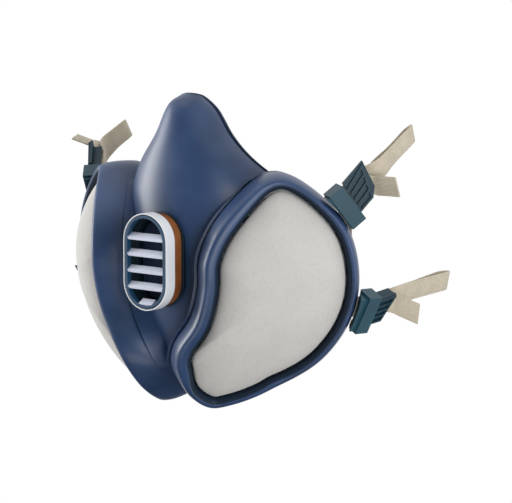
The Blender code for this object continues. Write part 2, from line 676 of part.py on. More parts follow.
def buckle_base(level, side, finish):
    """Hinge block: a front skin and two ears round the tongue's barrel, and a foot to the rim."""
    frame = buckle_frame(level)
    length, across, deep = BLOCK
    base = mesh_object(f"buckle_base_{level}_{side}", *box_body(
        (-length / 2, -across / 2, -deep / 2), (length / 2, across / 2, deep / 2), frame), finish)
    foot = box_body((-length / 2 + 0.9, -across / 2 - 6.0, -deep / 2 + 0.5),
                    (length / 2 - 0.9, -across / 2 + 0.5, deep / 2 - 0.9), frame)
    join(base, mesh_object("foot", *foot, None))
    pocket = box_body((-length / 2 + BLOCK_EAR, HINGE[0] - 2.6, -deep),
                      (length / 2 - BLOCK_EAR, across, deep / 2 - BLOCK_SKIN), frame)
    cut(base, mesh_object("pocket", *pocket, None))
    reach = length / 2 - EAR_END
    hole = rod(hinge_frame(level), -reach, reach, PIN_RADIUS + GAP)
    cut(base, mesh_object("pin_hole", *hole, None))
    return cut(base, envelope_cutter())


def buckle_pin(level, side, finish):
    reach = BLOCK[0] / 2 - EAR_END - GAP
    return mesh_object(f"buckle_pin_{level}_{side}", *rod(hinge_frame(level), -reach, reach, PIN_RADIUS),
                       finish)


def buckle_tongue(level, side, finish):
    """Tongue that turns on the pin: a panel with side walls and a bar that holds the strap."""
    frame = hinge_frame(level)
    lean = BUCKLES[level][3]
    half = TONGUE_HALF
    ends = dict(zip((-1, 1), TONGUE_ENDS[level]))
    pivot = frame.translation

    def leant(x, y):
        return (x - lean * max(y - TONGUE_SQUARE, 0.0), y)

    tongue = mesh_object(f"buckle_tongue_{level}_{side}", *rod(frame, -half, half, BARREL_RADIUS), finish,
                         pivot)
    panel = [(-half, 0.6), (half, 0.6), *TONGUE_PANELS[level]]
    join(tongue, mesh_object("panel", *prism(frame, panel, 0.0, 1.2), None))
    for edge, end in ends.items():
        outer, inner = edge * (half - 0.1), edge * (half - TONGUE_WALL)
        wall = [(outer, TONGUE_SQUARE), (inner, TONGUE_SQUARE), leant(inner, end - 0.3),
                leant(outer, end - 0.3)]
        join(tongue, mesh_object("wall", *prism(frame, wall, -TONGUE_DEPTH, 0.6), None))
    reach = half - 0.4
    bar = rod(frame, leant(-reach, BAR_Y)[0], leant(reach, BAR_Y)[0], 0.6, BAR_Y, BAR_Z, 8)
    join(tongue, mesh_object("bar", *bar, None))
    hole = rod(frame, -half - 1.0, half + 1.0, PIN_RADIUS + GAP)
    return cut(tongue, mesh_object("pin_hole", *hole, None))


def ribbon(name, rows, width, thick, steps, finish):
    """A flat band along rows of (middle, width direction); it shears where the two aren't square."""
    curve = smooth_path([(*row[0], *row[1]) for row in rows], steps)
    path, wide = curve[:, :3], curve[:, 3:]
    tangent = np.gradient(path, axis=0)
    loops = []
    for point, along, across in zip(path, tangent, wide):
        along = Vector(along).normalized()
        across = Vector(across).normalized() * (width / 2)
        normal = along.cross(across).normalized() * (thick / 2)
        middle = Vector(point)
        loops.append([middle + across + normal, middle - across + normal,
                      middle - across - normal, middle + across - normal])
    return mesh_object(name, *plug_body(loops), finish)


def turn_back(start, along, side, radius, first=0.0, last=math.pi, count=5):
    """Points on an arc that starts at a point, runs along and comes back on the given side."""
    start, along, side = Vector(start), Vector(along).normalized(), Vector(side).normalized()
    middle = start + side * radius
    return [middle - side * (radius * math.cos(a)) + along * (radius * math.sin(a))
            for a in np.linspace(first, last, count)]


def strap_run(level, side):
    """Rows of (middle, width direction) from the tongue to the strap's fixed end."""
    key = level if level in OUTS else (level, side)
    start, along, towards, width = FOLDS[key]
    bend = [(point, width) for point in turn_back(start, along, towards, FOLD_RADIUS)]
    return list(OUTS[key]) + bend + list(BACKS[key])


def strap(level, side, finish):
    """One strap from its loose end, round the tongue's bar, back and round behind the facepiece."""
    frame = hinge_frame(level)
    lean = BUCKLES[level][3]
    width_axis = frame.to_3x3() @ Vector((1.0, 0.0, 0.0))
    radius = 1.5
    front, rear = BAR_Z + radius, BAR_Z - radius
    loop = turn_back((0.0, BAR_Y, front), (0.0, -1.0, 0.0), (0.0, 0.0, -1.0), radius)
    inside = [(10.0, front)] + [(p.y, p.z) for p in loop] + [(10.0, rear), (12.8, rear)]
    rows = [(frame @ Vector((-lean * y, y, z)), width_axis) for y, z in inside]
    tail_end, tail_width, (exit_x, exit_y) = TAILS[level, side]
    way_out = frame @ Vector((exit_x, exit_y, front))
    near_end = way_out.lerp(Vector(tail_end), 0.4)
    tail = [(point, tail_width) for point in (tail_end, near_end, way_out)]
    rows = tail + rows + strap_run(level, side)
    return ribbon(f"strap_{level}_{side}", rows, STRAP_WIDTH, STRAP_THICK, 3, finish)


def crown_cradle(finish):
    rows = [(point, (0.0, 0.0, -1.0)) for point in CRADLE]
    return ribbon("crown_cradle", rows, CRADLE_WIDTH, CRADLE_THICK, 4, finish)


def clasp_loop(finish):
    """Right half of the neck clasp: a plate with a window for the hook."""
    frame = Matrix.Translation(CLASP_MIDDLE)
    plate = mesh_object("clasp_loop", *box_body((-15.0, -1.2, -6.0), (3.4, 1.2, 6.0), frame), finish)
    window = box_body((-3.0, -4.0, -3.8), (1.6, 4.0, 3.8), frame)
    return cut(plate, mesh_object("window", *window, None))


def clasp_hook(finish):
    """Left half of the neck clasp: a plate with a prong that stands in the loop's window."""
    frame = Matrix.Translation(CLASP_MIDDLE)
    plate = mesh_object("clasp_hook", *box_body((4.0, -1.2, -6.0), (15.0, 3.6, 6.0), frame), finish)
    join(plate, mesh_object("arm", *box_body((-0.4, 1.6, -3.2), (5.0, 3.6, 3.2), frame), None))
    return join(plate, mesh_object("prong", *box_body((-0.4, -1.2, -3.2), (1.2, 2.0, 3.2), frame), None))


# ---------------------------------------------------------------- the part

def build():
    for old in list(bpy.data.objects):
        bpy.data.objects.remove(old)
    rubber = material("rubber", (0.045, 0.075, 0.16), 0.5)
    seal_rubber = material("seal_rubber", (0.03, 0.05, 0.11), 0.6)
    teal = material("buckle_plastic", (0.02, 0.08, 0.11), 0.45)
    felt = material("felt", (0.72, 0.72, 0.70), 0.95)
    pale = material("pale_plastic", (0.70, 0.70, 0.72), 0.5)
    amber = material("amber_band", (0.42, 0.17, 0.05), 0.5)
    dark = material("housing_plastic", (0.03, 0.05, 0.09), 0.5)
    carbon = material("carbon", (0.02, 0.02, 0.02), 0.9)
    steel = material("steel", (0.5, 0.5, 0.5), 0.3, 1.0)
    elastic = material("elastic", (0.62, 0.55, 0.44), 0.9)

    facepiece("facepiece", rubber)
    face_seal("face_seal", seal_rubber)
    cheek = [
        filter_rim("filter_rim_L", rubber), filter_pad("filter_pad_L", felt),
        cartridge_housing("cartridge_housing_L", dark), filter_grid("filter_grid_L", pale),
        carbon_bed("carbon_bed_L", carbon), inhalation_seat("inhalation_seat_L", pale),
        inhalation_flap("inhalation_flap_L", seal_rubber)]
    for piece in cheek:
        mirrored(piece, piece.name[:-1] + "R")

    valve_body("valve_body", dark)
    valve_ring("colour_band", COLOUR_BAND, amber)
    valve_ring("valve_cover", VALVE_COVER, pale)
    exhalation_flap("exhalation_flap", seal_rubber)
    valve_grille("valve_grille", teal)

    for level in BUCKLES:
        for piece in (buckle_base(level, "L", teal), buckle_pin(level, "L", steel),
                      buckle_tongue(level, "L", teal)):
            mirrored(piece, piece.name[:-1] + "R")
        strap(level, "L", elastic)
        right = strap(level, "R", elastic)
        mirrored(right, "mirror")
        bpy.data.objects.remove(right)
        bpy.data.objects["mirror"].name = f"strap_{level}_R"
    crown_cradle(teal)
    clasp_loop(teal)
    clasp_hook(teal)


build()
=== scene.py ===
"""Finished look of the half-face respirator: smooth shells, ribbed buckles, webbing and materials.

Drawing axes, in millimetres, are the model's own: X is the wearer's left, -Y is the front, Z is up,
and the mask is symmetrical about X = 0.  A cheek filter has its own axes: s runs outward and back
across the cheek, h runs forward out of the cheek, and z is up.  place() turns drawing millimetres
into the frame's metres.  Each piece is made again from the same dimensions as its solid in the
frame, with more points, rounder edges and finer detail, and stands for that solid.
"""
import json
import math

import bmesh
import bpy
import numpy as np
from mathutils import Matrix, Vector


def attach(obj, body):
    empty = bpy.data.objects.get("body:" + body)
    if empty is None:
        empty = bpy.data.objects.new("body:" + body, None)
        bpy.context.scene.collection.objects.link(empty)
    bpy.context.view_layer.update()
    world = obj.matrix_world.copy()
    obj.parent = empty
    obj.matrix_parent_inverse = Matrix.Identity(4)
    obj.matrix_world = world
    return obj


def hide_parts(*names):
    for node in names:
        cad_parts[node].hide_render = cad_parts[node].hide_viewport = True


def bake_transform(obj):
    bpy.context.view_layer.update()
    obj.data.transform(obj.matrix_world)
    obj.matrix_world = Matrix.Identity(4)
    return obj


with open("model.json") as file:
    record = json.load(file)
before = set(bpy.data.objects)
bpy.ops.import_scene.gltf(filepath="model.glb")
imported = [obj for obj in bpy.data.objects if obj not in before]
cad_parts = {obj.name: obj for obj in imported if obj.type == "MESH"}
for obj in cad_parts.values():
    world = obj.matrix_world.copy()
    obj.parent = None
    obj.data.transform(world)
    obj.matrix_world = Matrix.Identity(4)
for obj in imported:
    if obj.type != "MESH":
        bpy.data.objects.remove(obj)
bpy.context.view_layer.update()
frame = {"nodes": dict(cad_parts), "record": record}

MM = 0.001
REST_Z = -58.3  # drawing height of the lowest rubber
ORIGIN = (0.0, -17.5, 5.8)  # drawing place of the middle of the opening that the face fills
GAP = 0.35  # clearance between neighbouring pieces

# Cheek filter
CHEEK_TURN = math.radians(40.0)  # how far each filter faces out to its own side
CROWN_H = 70.8  # greatest height of the filter's front along h
CROWN_Z = 5.0  # where along z it is that high
CROWN_FALL = 164.0  # the front falls away by (z - CROWN_Z)^2 / CROWN_FALL
CROWN_TIP = 6.5  # and by this much more at the tip of the lower lobe
CROWN_LEAN = 0.045  # fall per millimetre from the nose side to the outer side
CROWN_LEAN_S = -20.0  # where that lean starts
LOBE_TOP = -30.0  # below this height the lower lobe sweeps up towards the back
LOBE_RISE = 0.52  # and at its tip it rises by this much for each depth
RIM_OUTLINE = (  # (s, z), the outer edge of the rubber rim
    (8.5, 38.0), (21.7, 30.7), (33.6, 17.0), (37.8, -2.0), (34.5, -19.0), (23.9, -35.3),
    (7.0, -47.5), (-10.0, -56.3), (-19.5, -58.3), (-28.5, -51.2), (-35.0, -38.0), (-34.0, -29.0),
    (-27.5, -18.0), (-24.5, -5.0), (-24.0, 6.0), (-19.0, 18.0), (-9.0, 30.0), (0.0, 36.8))
CHEEK_CENTRE = (2.0, -8.0)  # the outline is star-shaped about this point
RIM_LOOP = 120  # points round a filter outline
RIM_PROFILE = (  # (inset on the inner side, inset on the outer side, depth)
    (2.4, 2.4, 16.5), (0.6, 0.6, 16.5), (0.0, 0.0, 10.0), (1.2, 0.4, 3.6), (2.6, 1.4, 0.5),
    (4.0, 2.2, 0.0), (6.4, 3.3, 0.7), (7.7, 4.7, 3.2), (8.0, 5.2, 7.5), (2.4, 2.4, 7.5))
GROOVE_SHADE_RINGS = range(18, 25)  # steps of the rim's profile between its crest and the pad, painted near-black as shade
HOUSING_BACK = 18.5  # depth of the housing's back face
HOUSING_FLOOR = 16.7  # depth of the housing's inner floor
HOUSING_CORNER = 17.0  # depth where its outer wall turns in to its back
HOUSING_MOUTH = 7.9  # depth of its front edge
HOUSING_INSETS = (4.4, 2.8)  # inset of its wall's inner face and of its outer face
PAD_INSET = (8.5, 5.7)  # inner and outer side
PAD_EDGE_DEPTH = 3.6
PAD_BACK_DEPTH = 7.6
PAD_DOME = 7.8  # rise of the pad's middle above its edge
PAD_SCALES = (1.0, 0.985, 0.95, 0.9, 0.84, 0.76, 0.67, 0.56, 0.44, 0.32, 0.2, 0.1)
PLATE_SCALES = (0.35, 0.7, 0.88, 1.0)  # loops of a crowned plate, from its middle to its edge
PORT_CENTRE = (-3.0, 6.0)  # (s, z) of the inhalation port
PORT_RADIUS = 10.0

# Facepiece: each row runs from the rear edge at the side to the middle of the front
FACE_THICK = 2.4
FACE_ROWS = (  # (edge x, edge y, edge z, front y, front z)
    (4.5, -40.5, 66.4, -43.5, 67.4), (9.0, -38.0, 61.5, -50.5, 64.0),
    (15.5, -35.8, 50.5, -55.0, 52.0), (23.5, -33.5, 42.0, -57.2, 42.0),
    (31.5, -25.0, 33.0, -58.6, 32.0), (39.0, -9.0, 22.0, -59.0, 20.0),
    (44.0, 0.5, 7.0, -58.4, 5.0), (43.0, 2.0, -9.0, -57.8, -11.0),
    (37.0, 0.0, -24.0, -56.8, -27.0), (28.5, -6.0, -36.5, -53.0, -39.5),
    (20.0, -9.5, -44.5, -36.5, -45.5), (12.5, -12.0, -51.0, -27.5, -51.5),
    (8.0, -13.0, -54.6, -23.0, -58.4), (5.5, -13.5, -57.0, -18.0, -60.4))
FACE_FULLNESS = 0.85  # below 1 the sides stay full before they turn to the front
FACE_ROW_STEPS = 5  # rows sampled between two design rows
FACE_ARC_STEPS = 63  # points from one rear edge round to the other

SEAL_SECTION = (  # (how far behind the rear edge, how far in towards FACE_MIDDLE)
    (1.4, -0.2), (2.8, 0.3), (4.4, 2.6), (4.6, 7.0), (3.7, 7.0), (3.4, 3.2), (2.7, 1.9), (1.4, 1.7))
FACE_MIDDLE = (0.0, -12.0, 4.0)
SOCKET_WALL = 1.8  # wall of the facepiece behind each filter
SOCKET_FRONT = 12.0  # depth that it reaches beside the filter, next to the nose

# Exhalation valve, a round-ended barrel on the middle line
VALVE_Z = 3.5
VALVE_HALF_W = 11.0
VALVE_HALF_H = 19.0
VALVE_ARC = 26  # segments in each half-round end
COLOUR_BAND = ((10.2, -59.8), (10.2, -64.3), (8.6, -64.3), (8.6, -59.8))  # (half width, y)
VALVE_COVER = ((11.0, -64.7), (11.0, -69.8), (10.8, -70.0), (10.5, -69.8), (10.5, -67.2), (9.7, -67.2),
               (9.7, -66.1), (8.8, -66.1), (8.8, -64.7))
VALVE_BODY = ((9.5, -51.0), (9.5, -59.0), (10.8, -59.0), (10.8, -59.5), (8.2, -59.5), (8.2, -61.0),
              (7.0, -61.0), (7.0, -51.0))
VALVE_HOLE = (9.5, 17.5)  # half width and half height of its hole through the facepiece
SPIDER_BARS = (-8.0, 0.0, 8.0)  # heights above VALVE_Z of the bars that the flap closes on
GRILLE_FRAME = ((10.2, -69.8), (10.2, -67.6), (9.0, -67.6), (9.0, -69.8), (9.2, -70.0), (10.0, -70.0))
LOUVRES = 5
LOUVRE_PITCH = 6.4
LOUVRE_SLOPE = math.radians(32.0)
LOUVRE_HALF = (1.6, 0.6)  # half depth and half thickness
LOUVRE_REACH = 9.4  # half width of the stadium that the louvres fill

# Buckles: middle of the hinge block, its long axis, the way its tongue leaves, and how far the
# tongue leans up along the block for each millimetre of its length
STRAP_WIDTH = 8.0
STRAP_THICK = 0.8
BLOCK = (16.5, 6.6, 6.8)  # long, across, deep
BLOCK_EAR = 2.2
BLOCK_SKIN = 0.9
EAR_END = 0.8  # skin that closes the pin's hole at each end
FOOT_REACH = 6.0  # how far the foot runs beyond the block, towards the rim
BARREL_ROOM = 2.6  # from the pin to the inner side of the barrel's pocket
PIN_RADIUS = 0.8
HINGE = (1.4, 0.2)  # the pin's place across and through the block
BARREL_RADIUS = 1.9
TONGUE_HALF = 5.7
TONGUE_ENDS = {"upper": (13.6, 9.2), "lower": (11.6, 8.4)}  # length along its upper and lower wall
TONGUE_PANELS = {  # (x, y) corners of the panel beyond the hinge
    "upper": ((5.6, 2.9), (4.4, 9.4), (1.2, 12.4), (-10.1, 14.3), (-8.2, 2.9), (-5.7, 2.9)),
    "lower": ((5.7, 2.2), (4.3, 8.4), (-7.9, 11.6), (-5.7, 2.2))}
TONGUE_WALL = 1.1
TONGUE_SQUARE = 2.2  # the tongue is square to the pin as far as this, and leans beyond
TONGUE_DEPTH = 3.4
PANEL_THICK = 1.2
BAR_Y = 6.9  # the strap's bar inside the tongue
BAR_Z = -2.3
BAR_RADIUS = 0.6
BAR_TURN = 1.5  # radius of the strap's turn round the bar
STRAIGHT_RUNS = (10.0, 12.8)  # how far from the pin the strap runs straight, in front and behind
BUCKLES = {
    "upper": ((64.3, -27.2, 26.0), (0.281, 0.561, -0.780), (0.458, 0.634, 0.621), 0.16),
    "lower": ((69.6, -21.8, -14.8), (-0.457, 0.035, -0.890), (0.157, 0.987, -0.042), 0.23)}

# Straps: (x, y, z) and the direction of the strap's width, in drawing axes as if on the left.
# Each runs back from its tongue, folds over towards a side and comes round behind the facepiece.
FOLD_RADIUS = 2.2
OUT_WIDTH = (-0.1, 0.44, -0.89)
FLAT_WIDTH = (-0.2, 0.0, -0.98)
UPRIGHT = (0.0, 0.0, -1.0)
OUTS = {
    ("upper", "L"): (((71.2, -14.0, 39.8), (0.1, 0.45, -0.88)), ((70.9, -6.0, 43.8), OUT_WIDTH),
                     ((70.4, 2.0, 47.7), OUT_WIDTH)),
    ("upper", "R"): (((71.2, -14.0, 39.8), (0.1, 0.45, -0.88)), ((70.9, -6.0, 43.8), OUT_WIDTH)),
    "lower": (((72.4, -4.5, -10.6), (-0.25, 0.0, -0.97)), ((71.6, 8.0, -10.2), FLAT_WIDTH),
              ((70.8, 22.0, -10.0), FLAT_WIDTH))}
FOLDS = {  # where it starts, the way the strap runs there, the side, the width
    ("upper", "L"): ((70.0, 9.8, 51.4), (-0.05, 0.9, 0.43), (-0.86, 0.1, -0.5), OUT_WIDTH),
    ("upper", "R"): ((70.6, 0.6, 47.0), (-0.05, 0.9, 0.43), (0.82, 0.05, -0.57), OUT_WIDTH),
    "lower": ((70.0, 36.0, -9.8), (-0.05, 1.0, 0.01), (-1.0, 0.0, -0.1), FLAT_WIDTH)}
BACKS = {
    ("upper", "L"): (
        ((66.2, 0.0, 43.6), OUT_WIDTH), ((65.8, -9.0, 38.6), (0.1, 0.6, -0.8)),
        ((63.5, -15.0, 32.5), (0.3, 0.7, -0.65)), ((59.5, -15.5, 25.5), (0.5, 0.6, -0.6)),
        ((51.8, -9.4, 17.5), (0.5, 0.5, -0.7)), ((46.0, 0.6, 10.5), (0.3, 0.3, -0.9)),
        ((41.0, 9.5, 4.0), (0.0, 0.1, -1.0)), ((28.0, 14.5, -3.0), UPRIGHT),
        ((20.5, 15.9, -7.4), UPRIGHT), ((17.0, 16.1, -7.6), UPRIGHT)),
    ("upper", "R"): (
        ((74.2, -5.0, 41.4), OUT_WIDTH), ((74.4, -11.0, 35.6), (0.1, 0.6, -0.8)),
        ((72.0, -13.4, 28.5), (0.3, 0.7, -0.65)), ((64.5, -11.4, 20.0), (0.5, 0.6, -0.6)),
        ((55.0, -5.0, 13.5), (0.4, 0.4, -0.8)), ((48.4, 2.5, 8.8), (0.2, 0.2, -0.95)),
        ((41.0, 9.5, 4.0), (0.0, 0.1, -1.0)), ((28.0, 14.5, -3.0), UPRIGHT),
        ((20.5, 15.9, -7.4), UPRIGHT), ((17.0, 16.1, -7.6), UPRIGHT)),
    "lower": (
        ((65.0, 22.0, -11.6), FLAT_WIDTH), ((64.0, 7.0, -13.6), FLAT_WIDTH),
        ((61.0, -6.0, -15.2), (0.0, 0.2, -0.98)), ((54.5, -8.5, -16.4), (0.0, 0.1, -1.0)),
        ((48.0, -1.0, -17.5), (0.0, 0.1, -1.0)), ((41.5, 8.5, -20.0), UPRIGHT),
        ((29.0, 14.5, -29.5), UPRIGHT), ((22.0, 16.6, -34.2), UPRIGHT), ((16.2, 17.3, -35.5), UPRIGHT))}
TAILS = {  # loose end, its width direction, and where it leaves the tongue
    ("upper", "L"): ((81.0, -16.0, 33.5), (0.1, 0.25, -0.95), (1.5, 12.7)),
    ("upper", "R"): ((80.5, -21.5, 44.5), (0.34, 0.80, 0.12), (-3.6, 18.0)),
    ("lower", "L"): ((82.0, -2.0, -17.3), (0.0, -0.2, -0.95), (-2.6, 13.2)),
    ("lower", "R"): ((82.0, -2.0, -17.3), (0.0, -0.2, -0.95), (-2.6, 13.2))}
CRADLE = ((-15.0, 16.2, -7.6), (0.0, 17.4, -9.2), (15.0, 16.2, -7.6))
CRADLE_WIDTH = 20.0
CRADLE_THICK = 2.2
CLASP_MIDDLE = (0.0, 17.6, -36.0)  # the clasp's boxes, as low and high corners, are about this point
LOOP_PLATE = ((-15.0, -1.2, -6.0), (3.4, 1.2, 6.0))
LOOP_WINDOW = ((-3.0, -4.0, -3.8), (1.6, 4.0, 3.8))
HOOK_PLATE = ((4.0, -1.2, -6.0), (15.0, 3.6, 6.0))
HOOK_ARM = ((-0.4, 1.6, -3.2), (5.0, 3.6, 3.2))
HOOK_PRONG = ((-0.4, -1.2, -3.2), (1.2, 2.0, 3.2))

# Detail of the moulded grips and the webbing
GRIP_RIBS = 4
GRIP_RISE = 0.8
GRIP_START = 2.9  # the ribs begin this far from the pin, clear of the block when the tongue tilts
TIP_CORNERS = {"upper": (3, 1), "lower": (2, 1)}  # panel corners at the ends of the ribs' field
WEBBING_CORDS = 9.0  # cords across a strap
WEBBING_THREADS = 8.0  # weft threads along each strap width of length

# Light
DARK_SIDE = (0.42, -0.90, 0.10)  # the dark side of the studio, behind the camera
SIDE_LIGHT = 0.12
SIDE_EDGE = (0.30, 0.92)  # how far towards DARK_SIDE the tent starts and ends to darken
UNDER_LIGHT = 0.10
UNDER_EDGE = (-0.80, -0.52)  # heights on the tent between which it brightens
RIGHT_POWER = 3.0
LEFT_POWER = 4.0
LOW_POWER = 1.3
TOP_POWER = 0.6

# Camera: straight at the drawing's origin
CAMERA_AZIMUTH = math.radians(38.0)  # round from the front towards the wearer's left
CAMERA_ELEVATION = math.radians(8.0)
CAMERA_DISTANCE = 900.0
LENS_MM = 153.8
SENSOR_MM = 36.0


def place(point):
    """Drawing millimetres to the frame's metres."""
    return (Vector(point) - Vector(ORIGIN)) * MM


# ---------------------------------------------------------------- objects

def mesh_object(name, verts, faces, finish, sharp=35.0):
    """One closed body from drawing millimetres, smooth except at edges sharper than sharp."""
    mesh = bpy.data.meshes.new(name)
    mesh.from_pydata([place(v) for v in verts], [], faces)
    body = bmesh.new()
    body.from_mesh(mesh)
    bmesh.ops.remove_doubles(body, verts=body.verts, dist=0.00001)
    bmesh.ops.recalc_face_normals(body, faces=body.faces)
    body.to_mesh(mesh)
    body.free()
    mesh.shade_smooth()
    mesh.set_sharp_from_angle(angle=math.radians(sharp))
    made = bpy.data.objects.new(name, mesh)
    bpy.context.scene.collection.objects.link(made)
    mesh.materials.append(finish)
    return made


def combine(target, tool, operation):
    """Join an object to target or cut it away, and remove it."""
    modifier = target.modifiers.new(operation.lower(), "BOOLEAN")
    modifier.operation = operation
    modifier.solver = "EXACT"
    modifier.object = tool
    bpy.context.view_layer.update()
    evaluated = target.evaluated_get(bpy.context.evaluated_depsgraph_get())
    mesh = bpy.data.meshes.new_from_object(evaluated)
    target.modifiers.clear()
    target.data = mesh
    bpy.data.objects.remove(tool)
    return target


def cut(target, body):
    """Cut a body of (verts, faces) out of target."""
    return combine(target, mesh_object("cutter", *body, None), "DIFFERENCE")


def join(target, body):
    """Join a body of (verts, faces) to target."""
    return combine(target, mesh_object("addition", *body, None), "UNION")


def mirrored(source, name):
    """The same piece for the other side of the mask."""
    mesh = source.data.copy()
    mesh.name = name
    body = bmesh.new()
    body.from_mesh(mesh)
    bmesh.ops.scale(body, vec=(-1.0, 1.0, 1.0), verts=body.verts)
    bmesh.ops.reverse_faces(body, faces=body.faces)
    body.to_mesh(mesh)
    body.free()
    made = bpy.data.objects.new(name, mesh)
    bpy.context.scene.collection.objects.link(made)
    for modifier in source.modifiers:
        if modifier.type == "BEVEL":
            round_edges(made, modifier.width / MM)
        else:
            soften(made)
    return made


def round_edges(target, radius):
    """Round a moulded piece's edges by radius millimetres."""
    bevel = target.modifiers.new("edges", "BEVEL")
    bevel.width = radius * MM
    bevel.segments = 3
    bevel.limit_method = "ANGLE"
    bevel.angle_limit = math.radians(40.0)
    bevel.use_clamp_overlap = True
    bevel.harden_normals = True
    return target


def soften(target):
    """Smooth a moulded shape all over."""
    subdivision = target.modifiers.new("subdivision", "SUBSURF")
    subdivision.levels = 1
    subdivision.render_levels = 1
    return target


def re_edge(target, sharp=35.0):
    """Shade a cut body smooth again except at its sharp edges."""
    target.data.shade_smooth()
    target.data.set_sharp_from_angle(angle=math.radians(sharp))
    return target


def take_place(node):
    """Let a piece take a solid's place."""
    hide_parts(node)


def stand_for(piece, node):
    """Let a piece take a solid's place, on the solid's own body."""
    bodies = frame["record"]["behaviour"]["bodies"]
    body = next(name for name, nodes in bodies.items() if node in nodes)
    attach(piece, body)
    take_place(node)


# ---------------------------------------------------------------- shape helpers

def hermite(before, start, end, after, t):
    """A point at t between start and end, with slopes set by how far apart the four points are."""
    gaps = [max(np.linalg.norm(b - a), 1e-6) ** 0.5
            for a, b in ((before, start), (start, end), (end, after))]
    leaving = (start - before) / gaps[0] - (end - before) / (gaps[0] + gaps[1]) + (end - start) / gaps[1]
    arriving = (end - start) / gaps[1] - (after - start) / (gaps[1] + gaps[2]) + (after - end) / gaps[2]
    return ((2 * t ** 3 - 3 * t ** 2 + 1) * start + (t ** 3 - 2 * t ** 2 + t) * gaps[1] * leaving
            + (3 * t ** 2 - 2 * t ** 3) * end + (t ** 3 - t ** 2) * gaps[1] * arriving)


def smooth_path(points, steps, closed=False):
    """A smooth curve through points, with steps samples between two of them."""
    points = np.array(points, float)
    count = len(points)
    if closed:
        ring = np.vstack([points[-1:], points, points[:2]])
    else:
        ring = np.vstack([2 * points[:1] - points[1:2], points, 2 * points[-1:] - points[-2:-1]])
    curve = []
    for index in range(count if closed else count - 1):
        curve.extend(hermite(*ring[index:index + 4], step / steps) for step in range(steps))
    if not closed:
        curve.append(points[-1])
    return np.array(curve)


def even_loop(points, count):
    """A closed smooth outline through points, resampled to count equal steps."""
    curve = smooth_path(points, 16, closed=True)
    closed = np.vstack([curve, curve[:1]])
    along = np.concatenate([[0.0], np.cumsum(np.linalg.norm(np.diff(closed, axis=0), axis=1))])
    want = np.linspace(0.0, along[-1], count, endpoint=False)
    return np.column_stack([np.interp(want, along, closed[:, axis]) for axis in range(closed.shape[1])])


def inward(outline):
    """Unit normals of a clockwise outline, pointing into it."""
    tangent = np.roll(outline, -1, axis=0) - np.roll(outline, 1, axis=0)
    tangent /= np.linalg.norm(tangent, axis=1)[:, None]
    return np.column_stack([tangent[:, 1], -tangent[:, 0]])


def bridge(first, second, count, closed=True):
    """Quads between two rows of count points that start at the given indices."""
    steps = count if closed else count - 1
    return [(first + k, first + (k + 1) % count, second + (k + 1) % count, second + k)
            for k in range(steps)]


def ring_body(loops):
    """A closed ring: each loop joins the next, and the last joins the first."""
    count = len(loops[0])
    verts = [tuple(point) for loop in loops for point in loop]
    faces = []
    for index in range(len(loops)):
        faces += bridge(index * count, ((index + 1) % len(loops)) * count, count)
    return verts, faces


def plug_body(loops, first_tip=None, last_tip=None):
    """A closed plug: loops joined in order, each end filled or drawn to a tip."""
    count = len(loops[0])
    verts = [tuple(point) for loop in loops for point in loop]
    faces = []
    for index in range(len(loops) - 1):
        faces += bridge(index * count, (index + 1) * count, count)
    for start, tip in ((0, first_tip), ((len(loops) - 1) * count, last_tip)):
        if tip is None:
            faces.append(tuple(range(start, start + count)))
        else:
            verts.append(tuple(tip))
            faces += [(start + k, start + (k + 1) % count, len(verts) - 1) for k in range(count)]
    return verts, faces


def box_body(low, high, axes):
    """A box between two corners, in its own axes."""
    corners = [(x, y, z) for x in (low[0], high[0]) for y in (low[1], high[1])
               for z in (low[2], high[2])]
    verts = [axes @ Vector(corner) for corner in corners]
    faces = [(0, 1, 3, 2), (4, 6, 7, 5), (0, 4, 5, 1), (2, 3, 7, 6), (0, 2, 6, 4), (1, 5, 7, 3)]
    return verts, faces


def round_loop(centre, along, across, radius, count):
    """A circle of count points about centre in the plane of along and across."""
    angles = np.linspace(0.0, 2 * math.pi, count, endpoint=False)
    return [centre + along * (radius * math.cos(a)) + across * (radius * math.sin(a)) for a in angles]


# ---------------------------------------------------------------- materials

def add(tree, kind, **values):
    """A shader node with its settings."""
    node = tree.nodes.new(kind)
    for name, value in values.items():
        setattr(node, name, value)
    return node


def noise(tree, where, scale, detail=3.0):
    made = add(tree, "ShaderNodeTexNoise")
    made.inputs["Scale"].default_value = scale
    made.inputs["Detail"].default_value = detail
    tree.links.new(where, made.inputs["Vector"])
    return made.outputs["Fac"]


def ramp(tree, factor, low, high, start=0.3, end=0.7):
    """A smooth change between two colours as factor goes from start to end."""
    made = add(tree, "ShaderNodeValToRGB")
    made.color_ramp.elements[0].position = start
    made.color_ramp.elements[1].position = end
    made.color_ramp.elements[0].color = (*low, 1.0)
    made.color_ramp.elements[1].color = (*high, 1.0)
    tree.links.new(factor, made.inputs["Fac"])
    return made.outputs["Color"]


def bumped(tree, height, distance, strength, normal=None):
    made = add(tree, "ShaderNodeBump")
    made.inputs["Distance"].default_value = distance
    made.inputs["Strength"].default_value = strength
    tree.links.new(height, made.inputs["Height"])
    if normal is not None:
        tree.links.new(normal, made.inputs["Normal"])
    return made.outputs["Normal"]


def shade(colour, amount):
    return tuple(min(max(c * amount, 0.0), 1.0) for c in colour)


def blank_material(name):
    """A material, its node tree and its shader."""
    made = bpy.data.materials.new(name)
    made.use_nodes = True
    return made, made.node_tree, made.node_tree.nodes["Principled BSDF"]


def tinted(tree, base, shading):
    """A base colour darkened by another."""
    mixed = add(tree, "ShaderNodeMix", data_type="RGBA", blend_type="MULTIPLY")
    mixed.inputs[0].default_value = 1.0
    tree.links.new(base, mixed.inputs[6])
    tree.links.new(shading, mixed.inputs[7])
    return mixed.outputs[2]


